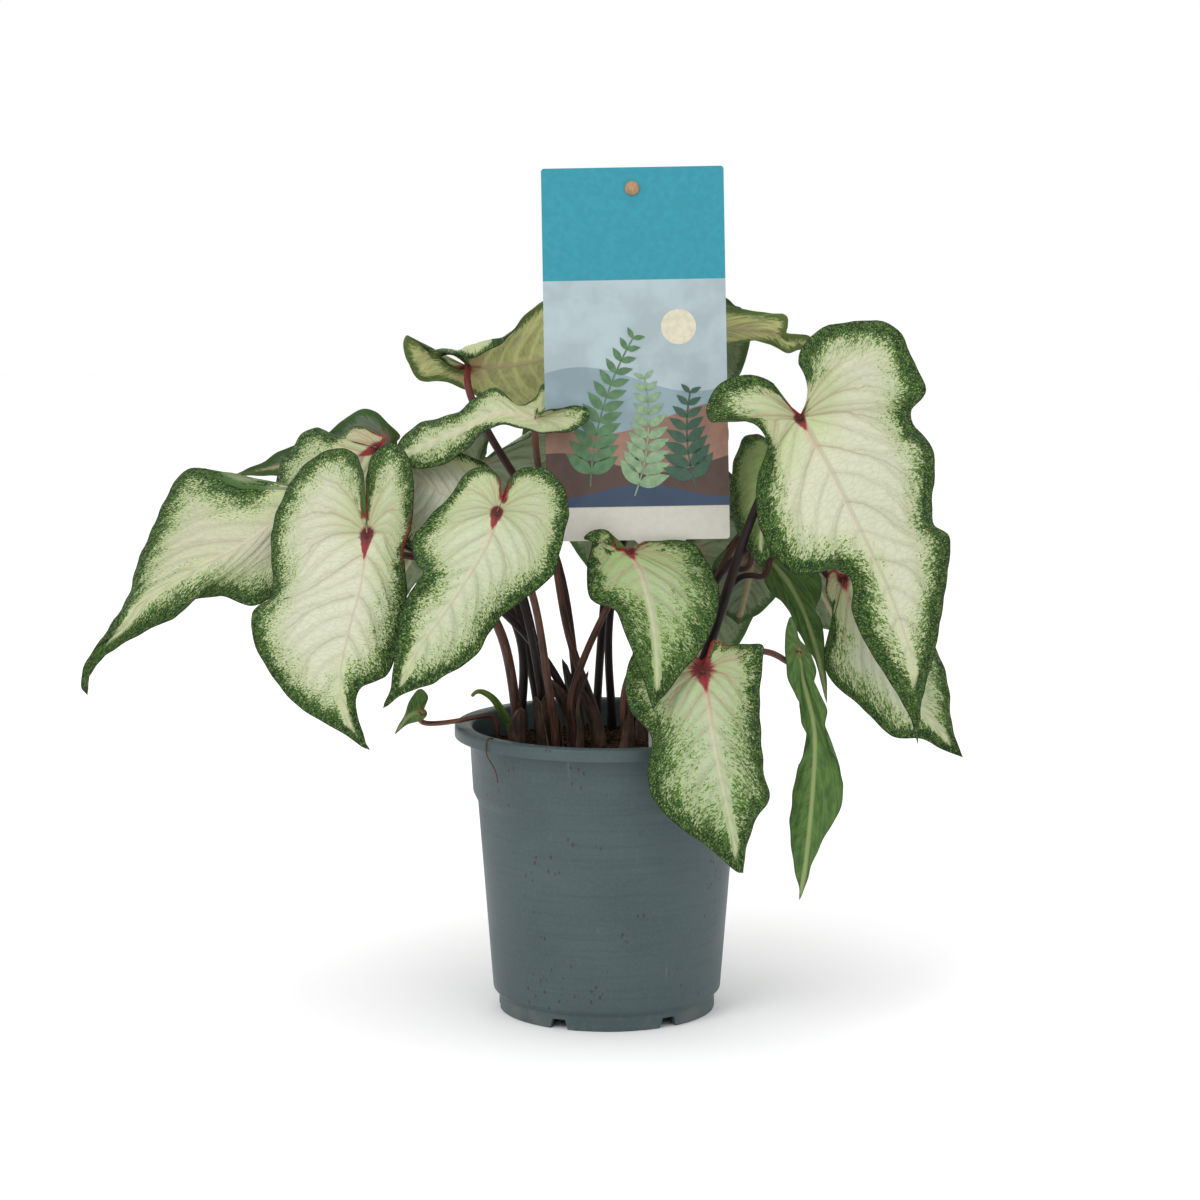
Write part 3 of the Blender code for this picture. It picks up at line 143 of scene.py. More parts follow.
LEAVES = (
    Leaf("leaf_far_left", (315, 490, -8), (-15, 30),
         left=((319, 487), (330, 476, 4), (322, 468, 6), (306, 472, 6), (282, 486, 3), (250, 490, 1),
               (236, 487.5), (222, 481, 3), (205, 469, 6), (196, 468, 7), (187, 470, 8), (178, 477, 8),
               (164, 502, 8), (150, 534, 7), (137, 564, 6), (130, 592, 4), (120, 611, 2), (100, 641),
               (92, 652), (84.5, 665), (81, 680), (82, 689), (87.5, 695)),
         right=((321, 491), (334, 500, 3), (340, 520, 5), (330, 550, 7), (300, 585, 9), (270, 599, 9),
                (250, 606, 8), (226, 597, 6), (214, 597, 5), (202, 598, 5), (193, 601, 5), (182, 611, 4),
                (174, 619, 4), (160, 624, 3), (128, 641, 2), (113, 650, 1), (102, 659), (91, 673),
                (87, 681), (86, 689), (87.5, 695)),
         rib=((315, 490, -2), (250, 540, -3), (200, 566, -3), (150, 597, -2), (119, 634), (92, 668),
              (87.5, 695)),
         stalk=((-12, -6), 1.9, ((540, 640, -12), (430, 548, -16)))),
    Leaf("leaf_front_left", (367, 534, -45), (-20, 25),
         left=((365, 517, -1), (360, 502, -2), (363, 478, -2), (357, 456, 1), (340, 448, 4),
               (316, 456, 6), (295, 476, 7), (280, 504, 8), (273, 525, 9), (271, 548, 9), (273, 582, 7),
               (270, 598, 3), (259, 606, 1), (252, 613), (252, 630), (256, 648, 1), (275, 680, 3),
               (299, 707, 5), (337, 730, 8), (352, 739, 10), (362, 747, 11), (370, 750, 12)),
         right=((366.5, 517, 1), (367, 500, 2), (367, 478, 2), (370, 460, 3), (381, 447, 4),
                (391, 443, 6), (405, 451, 7), (412, 470, 7), (414, 495, 7), (411, 528, 7), (405, 545, 6),
                (404, 560, 6), (407, 590, 6), (404, 620, 6), (396, 655, 6), (388, 674, 6), (377, 681, 6),
                (363, 686, 6), (357, 696, 7), (356, 708, 8), (361, 727, 10), (366, 743, 11),
                (370, 750, 12)),
         rib=((367, 534), (360, 585, -2), (350, 622, -2), (342, 658), (339, 682, 2), (342, 704, 5),
              (352, 726, 8), (370, 750, 12)),
         stalk=((-35, -14), 2.3, ((510, 660, -20), (495, 610, -26), (440, 555, -32)))),
    Leaf("leaf_centre_left", (497, 512, -60), (5, 20),
         left=((502, 500, -1), (501, 489, -2), (497, 474), (483, 466, 3), (463, 476, 5), (452, 494, 5),
               (431, 515, 6), (415, 535, 7), (412.5, 548, 6), (416, 563, 3), (423, 573, -3),
               (416, 584, -2), (409, 594, 1), (403, 610, 3), (397, 641, 4), (394, 660, 5), (392, 680, 6),
               (389, 693, 7), (383, 708, 8)),
         right=((504, 500, 1), (506, 488, 1), (512, 475, 2), (524, 468, 3), (540, 467, 4), (555, 476, 5),
                (565, 491, 6), (569, 511, 7), (566, 527, 7), (560, 552, 7), (553, 575, 7), (530, 595, 7),
                (503, 615, 7), (490, 632, 7), (477, 654, 7), (462, 666, 7), (441, 678, 7), (430, 685, 7),
                (407, 692, 7), (392, 702, 8), (383, 708, 8)),
         rib=((497, 512), (486, 545, -2), (458, 592, -2), (420, 646, 1), (400, 684, 5), (383, 708, 8)),
         stalk=((-20, -26), 1.9, ((547, 680, -31), (541, 630, -36), (528, 570, -42)))),
    Leaf("leaf_upper_left", (469, 367, 30), (176, 20),
         left=((466, 362), (458, 357, -4, 0, -2), (446, 354, -9, 0, -4), (434, 359, -12, -2, -9),
               (428.5, 353, -13, -3, -9), (440, 352, -12, 0, -9), (455, 354, -12, 0, -10),
               (472, 358, -12, 0, -18), (491, 349, -10, 0, -16), (502, 343, -10, 0, -14),
               (510, 335, -9, 0, -12), (520, 321, -6, 0, -6), (540, 303, -1), (565, 294), (590, 296, 2),
               (612, 306, 4), (630, 322, 6)),
         right=((464, 370), (450, 366, -2), (438, 357, -5), (427, 350, -7), (416, 341, -8),
                (407, 335, -9), (403.5, 344, -9), (405, 356, -8), (409, 364, -7), (413, 373, -5),
                (419, 380, -4), (427, 382, -3), (440, 381, -2), (455, 385, 0), (470, 392, 2),
                (500, 408, 4), (545, 415, 8), (580, 402, 9), (608, 365, 8), (622, 340, 7), (630, 322, 6)),
         rib=((469, 367), (500, 366, -3), (545, 358, -2), (590, 340, 3), (630, 322, 6)),
         stalk=((-11, 8), 2.0, ((572, 637, 8), (558, 541, 8), (500, 455, 10), (473, 405, 16)))),
    Leaf("leaf_across", (535, 419, -17), (-4, 40),
         left=((535, 412, 9), (545, 404, 16), (562, 391, 15), (558, 379, 14), (544, 384, 11),
               (534, 399, 8), (526, 404, 6), (517, 404, 5), (508.5, 399, 5), (503, 391, 6), (495, 388, 6),
               (484, 392, 6), (476, 397, 5), (458, 412, 4), (439, 418, 3), (427, 421, 3), (417, 425, 3),
               (404, 436, 3), (385, 462, 4)),
         right=((537, 415, -1), (544, 412.5, -4), (554, 409, -4), (580, 406, -3), (589, 411, -3),
                (587, 421, -3), (574, 430, -4), (552, 433, -5), (531, 431, -5), (508, 425, -4),
                (490, 428, -3), (480, 435, -3), (467, 449, -3), (457, 456, -2), (439, 466), (413, 468, 1),
                (385, 462, 4)),
         rib=((535, 419), (500, 413, -1), (460, 430, -1), (420, 447, 1), (385, 462, 4)),
         stalk=((-3, -7), 1.8, ((566, 640, -6), (556, 560, -4), (540, 480, -4)))),
    Leaf("leaf_back_left", (378, 448, 22), (-10, 30),
         left=((383, 444), (386, 437, 3), (378, 435, 5), (365, 428, 6), (350, 428, 5), (340, 437, 2),
               (330, 437, 2), (322, 430, 4), (314, 428, 5), (303, 433, 6), (291, 450, 5), (280, 464, 5),
               (276, 485, 5), (266, 512, 6), (258, 545, 8)),
         right=((384, 451), (394, 460, 3), (392, 478, 5), (368, 505, 5), (335, 530, 4), (300, 552, 4),
                (276, 557, 6), (258, 545, 8)),
         rib=((378, 448), (340, 465, -3), (300, 500, -2), (258, 545, 8)),
         stalk=((-34, 2), 2.2, ((526, 665, 2), (517, 610, 4), (440, 510, 6)))),
    Leaf("leaf_grey_left", (392, 446, 42), (170, 28),
         left=((397, 450), (405, 458, 2), (400, 470, 3), (370, 480, 3), (320, 482, 2), (277, 476),
               (234, 476)),
         right=((397, 442), (400, 435, 2), (389, 424, 2), (376, 412, 3), (362, 409, 4), (343, 420, 3),
                (326, 434, 2), (305, 443, 2), (282, 450, 2), (260, 464, 1), (246, 469), (234, 476)),
         rib=((392, 446), (350, 452, 4), (300, 462, 3), (234, 476)),
         stalk=((-27, 14), 1.9, ((525, 640, 16), (515, 590, 22), (450, 480, 34)))),
    Leaf("leaf_pale_back", (478, 500, -22), (0, 15),
         left=((484, 496), (494, 484, 3), (488, 466, 4), (466, 455, 4), (440, 450, 4), (415, 453, 4),
               (396, 470, 5), (385, 492, 6)),
         right=((485, 503), (496, 516, 3), (487, 541, 4), (458, 554, 4), (430, 552, 4), (407, 546, 4),
                (393, 522, 5), (385, 492, 6)),
         rib=((478, 500), (450, 496, -2), (418, 482, 0), (385, 492, 6)),
         stalk=((-24, -13), 1.7, ((533, 640, -20), (518, 580, -18)))),
    Leaf("leaf_front_centre", (629, 551, -27), (5, 38),
         left=((625, 548, -1), (618, 548, -2), (614, 540, -3), (608, 531, -5), (600, 529, -6),
               (590, 532, -6), (584, 538, -5), (592, 541, -3), (590, 553, -1), (587, 568), (587, 582),
               (589, 596, -1), (597, 604, -2), (608, 607, -3), (617, 613, -3), (625, 634, -3),
               (636, 660, -4), (646, 688, -5), (653, 710, -6)),
         right=((631, 548), (638, 545), (648, 541.5, -1), (665, 540.5, -1), (685, 540.5, -1),
                (695, 545, -1), (703, 555, -1), (713, 573, -1), (719, 590, -2), (717, 615, -3),
                (708, 638, -5), (698, 654, -6), (682, 672, -5), (668, 692, -5), (660, 700, -5),
                (653, 710, -6)),
         rib=((629, 551, -1), (642, 575, -4), (653, 620, -5), (657, 665, -5), (656, 695, -5),
              (653, 710, -6)),
         stalk=((-12, -19), 1.7, ((566, 705, -20), (590, 640, -20), (622, 580, -16)))),
    Leaf("leaf_front_low", (702.5, 670, -56), (6, 14),
         left=((699, 660, 1), (690, 650, 3), (668, 642, 5), (645, 645, 6), (632, 655, 6), (626, 675, 3),
               (625, 690, 0), (628, 703, -1), (633, 715, -2), (645, 727, -3), (652, 741, -4),
               (648, 762, -3), (648, 780, -2), (652, 797), (664, 813, 1), (682, 829, 2), (707, 846, 3),
               (725, 862, 4), (737, 872, 5), (743.5, 873, 5)),
         right=((705, 660, 1), (709, 648, 2), (714, 640, 3), (728, 645, 3), (745, 644, 4), (762, 645, 5),
                (763, 660, 4), (760, 690, 4), (760, 715, 4), (762, 750, 4), (765, 780, 5), (770, 794, 5),
                (768, 803, 5), (759, 814, 4), (750, 835, 4), (744, 860, 5), (743.5, 873, 5)),
         rib=((702.5, 670), (708, 700, -3), (716, 750, -4), (727, 805, -1), (736, 850, 3),
              (743.5, 873, 5)),
         stalk=((7, -30), 1.7, ((622, 700, -32), (632, 660, -36), (672, 640, -42)))),
    Leaf("leaf_big_right", (799.5, 418, -40), (10, 16),
         left=((798, 414, -1), (792, 408, -2), (784, 400, -3), (779, 391, -2), (768, 380),
               (756, 375.5, 2), (743, 375, 4), (722, 382, 6), (710, 397, 5), (706, 412, 2), (711, 421),
               (722, 420, -2), (740, 420, -3), (757, 426, -2), (766, 438), (767, 450, 2), (758, 475, 5),
               (756, 498, 6), (760, 528, 6), (777, 559, 6), (796, 574, 6), (817, 573, 5), (834, 569, 4),
               (849, 577, 4), (853, 592, 4), (852, 612, 5), (867, 646, 6), (896, 692, 9), (911, 720, 12),
               (917.5, 744, 14)),
         right=((802, 414, 1), (806.5, 404, 3, 0, 1), (809, 390, 5, 2, 0), (804, 374, 6, 6, 0),
                (798.5, 360, 7, 10, 0), (803, 346, 8, 9), (822, 328, 8, 5), (850, 322, 7, 2),
                (880, 321, 6), (900, 332, 5), (912, 358, 4), (925, 385, 4), (923, 398, 5), (911, 410, 6),
                (915, 427, 6), (931, 445, 5), (935, 470, 4), (932, 500, 5), (934, 524, 6), (949, 536, 6),
                (950, 552, 6), (945, 592, 8), (935, 650, 10), (922, 700, 12), (917.5, 744, 14)),
         rib=((799.5, 418), (826, 464, -4), (853, 518, -5), (877, 567, -2), (900, 623, 3), (915, 680, 9),
              (917.5, 744, 14)),
         stalk=((27, -18), 2.4, ((712, 645, -19), (738, 552, -20), (770, 470, -24)))),
    Leaf("leaf_right_low", (843, 578, -8), (12, 18),
         left=((841, 574), (834, 570, 3), (827, 577, 5), (826, 590, 5), (832, 610, 3), (831, 630, 3),
               (824.5, 652, 5), (825, 666, 5), (834, 684, 4), (860, 706, 4), (884, 730, 4), (897, 738, 4),
               (922, 739, 6), (941, 749, 8), (963, 757.5, 10)),
         right=((846, 574), (860, 566, 4), (885, 572, 6), (908, 598, 7), (928, 635, 7), (942, 662, 6),
                (949, 690, 6), (951, 720, 7), (957, 742, 8), (963, 757.5, 10)),
         rib=((843, 578), (858, 625, -2), (890, 680, 0), (926, 715, 4), (963, 757.5, 10)),
         stalk=((21, -1), 1.7, ((704, 600, -5), (730, 555, -6), (795, 525, -4)))),
    Leaf("leaf_twisted", (799, 650, -30), (-8, 12),
         left=((799, 641, 2), (797, 628, 3), (791, 617, 4), (786, 628, 3), (785, 648), (788, 678, -2),
               (796, 696, -3), (801, 705, -3), (801, 720, -2), (807, 735, -1), (805, 752), (796, 775, 1),
               (791, 810, 1), (790, 832), (794, 866), (799, 888), (799.5, 900)),
         right=((801, 641, 3), (806, 647, 4), (814, 661, 4), (816, 672, 3), (814, 685, 3), (820, 698, 3),
                (827.5, 710, 2), (825, 726, 1), (829, 748), (838, 764), (843, 785, 1), (840, 810, 1),
                (825, 836), (812, 864), (804, 890), (799.5, 900)),
         rib=((799, 650, 1), (803, 680, 2), (812, 715, 2), (815, 745), (812, 800, -2), (806, 860, -1),
              (799.5, 900)),
         stalk=((33, -24), 1.2, ((706, 690, -27), (730, 655, -34), (772, 647, -38)))),
    Leaf("leaf_grey_right", (752, 552, 22), (170, 15),
         left=((756, 548), (764, 544, 2), (776, 553, 3), (782, 572, 2), (778, 592, 1), (768, 606),
               (755, 616), (738, 624)),
         right=((748, 548), (738, 545, 2), (722, 552, 3), (712, 568, 2), (712, 590, 1), (720, 609),
                (738, 624)),
         rib=((752, 552), (749, 580, -2), (738, 624)),
         stalk=((9, 15), 1.5, ((668, 640, 16), (710, 560, 17)))),
    Leaf("leaf_strap_right", (770, 560, 4), (168, 12),
         left=((771, 554), (784, 551, 2), (804, 560, 3), (820, 576, 3), (821, 594, 2), (816, 610),
               (823, 628, -1), (825, 659, -2), (827, 685, -2), (827, 704, -2)),
         right=((764, 556), (762, 570, 2), (771, 593, 2), (783, 602, 1), (791, 616), (801, 637, -1),
                (815, 661, -2), (822, 687, -2), (827, 704, -2)),
         rib=((770, 560), (788, 582, -2), (804, 612, -2), (818, 655, -2), (827, 704, -2)),
         stalk=((22, 12), 1.5, ((700, 640, 10), (738, 565, 2)))),
    Leaf("leaf_by_label", (777, 455, -12), (-55, 18),
         left=((772, 447), (766, 438, 2), (755, 434, 3), (744, 438, 4), (736, 455, 4), (731, 480, 4),
               (732, 512, 3), (741, 540, 2), (752, 556), (760, 567)),
         right=((782, 452), (792, 460, 3), (794, 485, 5), (788, 520, 4), (776, 550, 2), (760, 567)),
         rib=((777, 455), (768, 490, -2), (762, 530, -2), (760, 567)),
         stalk=((14, 5), 1.6, ((690, 640, 6), (722, 560, 8), (765, 500, 5)))),
    Leaf("leaf_behind_label", (680, 330, 32), (172, 25),
         left=((675, 327), (664, 319, 2), (659, 306, 4), (670, 296, 5), (692, 294, 4), (715, 301, 3),
               (729, 306, 2), (760, 312, 2), (785, 315, 2), (788, 326, 1), (787, 333), (798, 334),
               (810, 337), (824, 348, 2)),
         right=((676, 334), (666, 342, 2), (663, 354, 4), (678, 362, 5), (700, 357, 4), (729, 346, 2),
                (752, 341, 1), (768, 343), (778, 349, -1), (788, 353, -1), (798, 350), (808, 350, 1),
                (824, 348, 2)),
         rib=((680, 330), (720, 328, -2), (770, 331, -1), (800, 341), (824, 348, 2)),
         stalk=((2, 22), 1.9, ((606, 640, 24), (616, 560, 28), (662, 400, 34)))),
)

# A leaf on the far side: heart (x, y, z) and tip direction are in mm and degrees
FarLeaf = namedtuple("FarLeaf", "name heart heading dip length width droop base radius")

FAR_LEAVES = (
    FarLeaf("leaf_far_1", (-54, 65, 208), 130, 38, 98, 80, 16, (-24, 30), 2.0),
    FarLeaf("leaf_far_2", (8, 84, 222), 92, 42, 104, 86, 18, (-4, 33), 2.1),
    FarLeaf("leaf_far_3", (62, 58, 196), 48, 40, 92, 76, 15, (24, 27), 2.0),
    FarLeaf("leaf_far_4", (22, 58, 276), 70, 30, 84, 66, 12, (11, 30), 1.9),
    FarLeaf("leaf_far_5", (34, 76, 172), 78, 52, 76, 60, 10, (18, 20), 1.6),
)

# How the far leaves' margins wave and sag, in mm and shares, and where their stalks bend
WAVE_HEIGHT = 2.5
WAVE_STEP = 2.3
LOBE_SAG = 0.4
FAR_STALK_MIDDLE = (0.4, 0.4, 0.55)
FAR_STALK_LIFT = 0.012

# Heart outline for the far leaves: across and along as shares of width and length, tip at (0, 1)
HEART_MARGIN = ((0.03, -0.10), (0.10, -0.26), (0.24, -0.34), (0.38, -0.27), (0.47, -0.10), (0.50, 0.12),
                (0.45, 0.36), (0.32, 0.60), (0.16, 0.80), (0.05, 0.92), (0.0, 1.0))

SMALL_LEAF = Leaf(
    "small_leaf", (423, 712, -10), (-10, 20),
    left=((421, 708), (424, 703), (428, 699, 1), (426, 693, 1), (421, 689, 1), (415, 692, 1), (408, 706, 1),
          (401, 722), (395, 734)),
    right=((424, 709), (427, 712, 1), (425, 717, 2), (416, 722, 2), (407, 725, 1), (400, 729), (395, 734)),
    rib=((423, 712), (412, 714, -1), (402, 723, -1), (395, 734)),
    stalk=((-43, -3), 0.9, ((478, 716, -6), (455, 722, -8))))

# The shoot's middle line as (u, v, depth), and its radius from base to tip
SHOOT_BASE = (-38, 10)
SHOOT_PATH = ((501, 711, 8), (496, 701, 6), (487, 693, 4), (477, 690, 2), (472, 696, 0))
SHOOT_RADIUS = 0.0017
SHOOT_TIP_RADIUS = 0.0007
SHOOT_RISE = (0.003, 0.007)


# Share of a colour as it is seen in the photograph's light that belongs to the surface itself
SURFACE_SHARE = 0.72


def colour(red, green, blue):
    """A surface's own colour, from the one that it shows in the light, 0 to 255."""
    values = (channel / 255.0 for channel in (red, green, blue))
    light = (v / 12.92 if v < 0.04045 else ((v + 0.055) / 1.055) ** 2.4 for v in values)
    return tuple(v * SURFACE_SHARE for v in light) + (1.0,)


def toned(tone, factor, more=0):
    """A tone made lighter or darker, 255 at most."""
    return tuple(min(255, int(channel * factor) + more) for channel in tone)


class Shader:
    """A material whose nodes are made by short calls, each giving back its output socket.

    base is the surface's colour so far. It starts as one tone, and further tones are laid over it."""

    def __init__(self, name, tone):
        self.material = bpy.data.materials.new(name)
        self.material.use_nodes = True
        self.tree = self.material.node_tree
        self.surface = self.tree.nodes["Principled BSDF"]
        self.base = colour(*tone)

    def put(self, socket, value):
        if isinstance(value, bpy.types.NodeSocket):
            self.tree.links.new(value, socket)
        else:
            socket.default_value = value

    def node(self, kind, inputs, output=0, **settings):
        """The output of a new node, with a value or a link on each of the given inputs."""
        made = self.tree.nodes.new("ShaderNode" + kind)
        for key, value in settings.items():
            setattr(made, key, value)
        for key, value in inputs.items():
            self.put(made.inputs[key], value)
        return made.outputs[output]

    def finish(self, **values):
        """The material, with the base as its colour and the values on the surface's sockets."""
        for name, value in {"Base_Color": self.base, **values}.items():
            self.put(self.surface.inputs[name.replace("_", " ")], value)
        return self.material

    def attribute(self, name, output="Fac"):
        return self.node("Attribute", {}, output, attribute_name=name)

    def grain(self):
        return self.attribute("grain", "Vector")

    def blade_parts(self):
        """Distances in mm to the margin, the midrib and the heart, the grain, and the nearest vein's."""
        grain = self.grain()
        return *(self.attribute(key) for key in ("rim", "rib", "heart")), grain, self.veins(grain)

    def position(self):
        return self.node("TexCoord", {}, "Object")

    def math(self, operation, first, second=0.0, clamp=False):
        return self.node("Math", {0: first, 1: second}, operation=operation, use_clamp=clamp)

    def add(self, first, second):
        return self.math("ADD", first, second)

    def less(self, first, second):
        return self.math("SUBTRACT", first, second)

    def times(self, first, second):
        return self.math("MULTIPLY", first, second)

    def over(self, first, second, clamp=False):
        return self.math("DIVIDE", first, second, clamp)

    def stretch(self, vector, *scale):
        return self.node("Mapping", {"Vector": vector, "Scale": scale})

    def noise(self, vector, scale, detail=2.0, roughness=0.5, distortion=0.0):
        return self.node("TexNoise", {"Vector": vector, "Scale": scale, "Detail": detail,
                                      "Roughness": roughness, "Distortion": distortion}, "Fac")

    def cells(self, vector, scale, feature="F1"):
        return self.node("TexVoronoi", {"Vector": vector, "Scale": scale}, "Distance", feature=feature)

    def step(self, value, low, high, start=0.0, end=1.0):
        """start at low, end at high and a smooth turn between."""
        return self.node("MapRange", {"Value": value, "From Min": low, "From Max": high, "To Min": start,
                                      "To Max": end}, interpolation_type="SMOOTHSTEP")

    def mix(self, share, first, second):
        return self.node("Mix", {0: share, 6: first, 7: second}, 2, data_type="RGBA")

    def lay(self, share, tone):
        self.base = self.mix(share, self.base, colour(*tone))

    def veins(self, grain):
        """The distance in mm to the nearest vein or fork, as in vein_distance, with a slight waver.

        A second set, twice as dense and fainter, lies between the first one's."""
        station, ring, pitch = self.node("SeparateXYZ", {0: self.attribute("weave", "Vector")}).node.outputs
        sweep = self.less(1.0, self.math("POWER", self.over(station, VEINS), 3.0))
        sweep = self.times(self.times(sweep, VEIN_SWEEP), self.math("POWER", ring, SWEEP_POWER))
        waver = self.times(self.less(self.noise(grain, 0.16, 3.0), 0.5), VEIN_WAVER)
        place = self.add(self.add(station, sweep), self.times(waver, ring))
        nearest = FAR_AWAY
        for many, paler in VEIN_SETS:
            aside = self.less(self.math("FRACT", self.add(self.times(place, many), 0.5)), 0.5)
            for start, spread, fainter in FORKS:
                run = self.over(self.less(ring, start), 1.0 - start, True)
                far = self.math("ABSOLUTE", self.less(aside, self.times(run, spread)))
                far = self.add(self.times(far, self.over(pitch, many)), fainter + paler)
                far = self.add(far, self.times(self.math("LESS_THAN", ring, start), FAR_AWAY))
                nearest = self.math("MINIMUM", far, nearest)
        return nearest

    def bump(self, height, strength, distance):
        rough = self.node("Bump", {"Strength": strength, "Distance": distance, "Height": height})
        self.put(self.surface.inputs["Normal"], rough)


# How a blade is coloured. band and reach are the widths in mm of its green margin and of the speckles
# beyond it, heart the reach of the red, rosy how pink the midrib starts, and burst how far the red runs
# out along the veins rather than down the midrib alone
Look = namedtuple("Look", "pale tint band reach heart rosy burst")
PALE = (228, 229, 204)
TINT = (204, 217, 160)
DEFAULT_LOOK = Look(PALE, TINT, 3.0, 12.0, 4.0, 0.4, 0.4)
LOOKS = {
    "leaf_far_left": Look((214, 212, 186), TINT, 3.0, 16.0, 4.0, 0.3, 0.2),
    "leaf_front_left": Look(PALE, TINT, 2.4, 13.0, 11.5, 0.35, 0.0),
    "leaf_centre_left": Look((218, 224, 194), TINT, 3.0, 12.5, 8.0, 0.2, 0.0),
    "leaf_front_centre": Look((200, 212, 176), (172, 196, 128), 3.0, 25.0, 5.0, 0.5, 0.5),
    "leaf_front_low": Look((208, 217, 188), (182, 204, 142), 3.0, 24.0, 9.0, 0.7, 0.55),
    "leaf_big_right": Look((228, 229, 202), TINT, 4.4, 12.0, 6.0, 0.5, 0.1),
    "leaf_right_low": Look((210, 215, 192), TINT, 2.4, 12.0, 5.0, 0.7, 0.4),
    "leaf_across": Look((207, 212, 182), TINT, 2.2, 12.0, 0.0, 0.2, 0.0),
    "leaf_back_left": Look((205, 212, 178), TINT, 2.2, 14.0, 9.0, 1.0, 0.3),
    "leaf_pale_back": Look((226, 228, 208), TINT, 2.0, 9.0, 0.0, 0.1, 0.0),
    "leaf_by_label": Look((156, 180, 108), (120, 154, 76), 4.0, 12.0, 0.0, 0.0, 0.0),
}
DEEP_GREEN = (30, 58, 26)
MID_GREEN = (60, 98, 36)
SPECK_GREEN = (104, 142, 64)
FLECK_GREEN = (142, 172, 84)
RIB_CREAM = (226, 220, 190)
RIB_PINK = (206, 142, 126)
VEIN_GREY = (172, 176, 142)
VEIN_DEEP = (140, 148, 108)
HEART_RED = (158, 36, 52)
HEART_DARK = (92, 18, 32)
EDGE_DARK = (52, 58, 44)
SPOT_DARK = (48, 52, 48)
UNDER_RIB = (206, 190, 146)
UNDER_HEART = (176, 92, 88)
UNDER_BAND = 1.6
UNDER_ROSY = 0.4


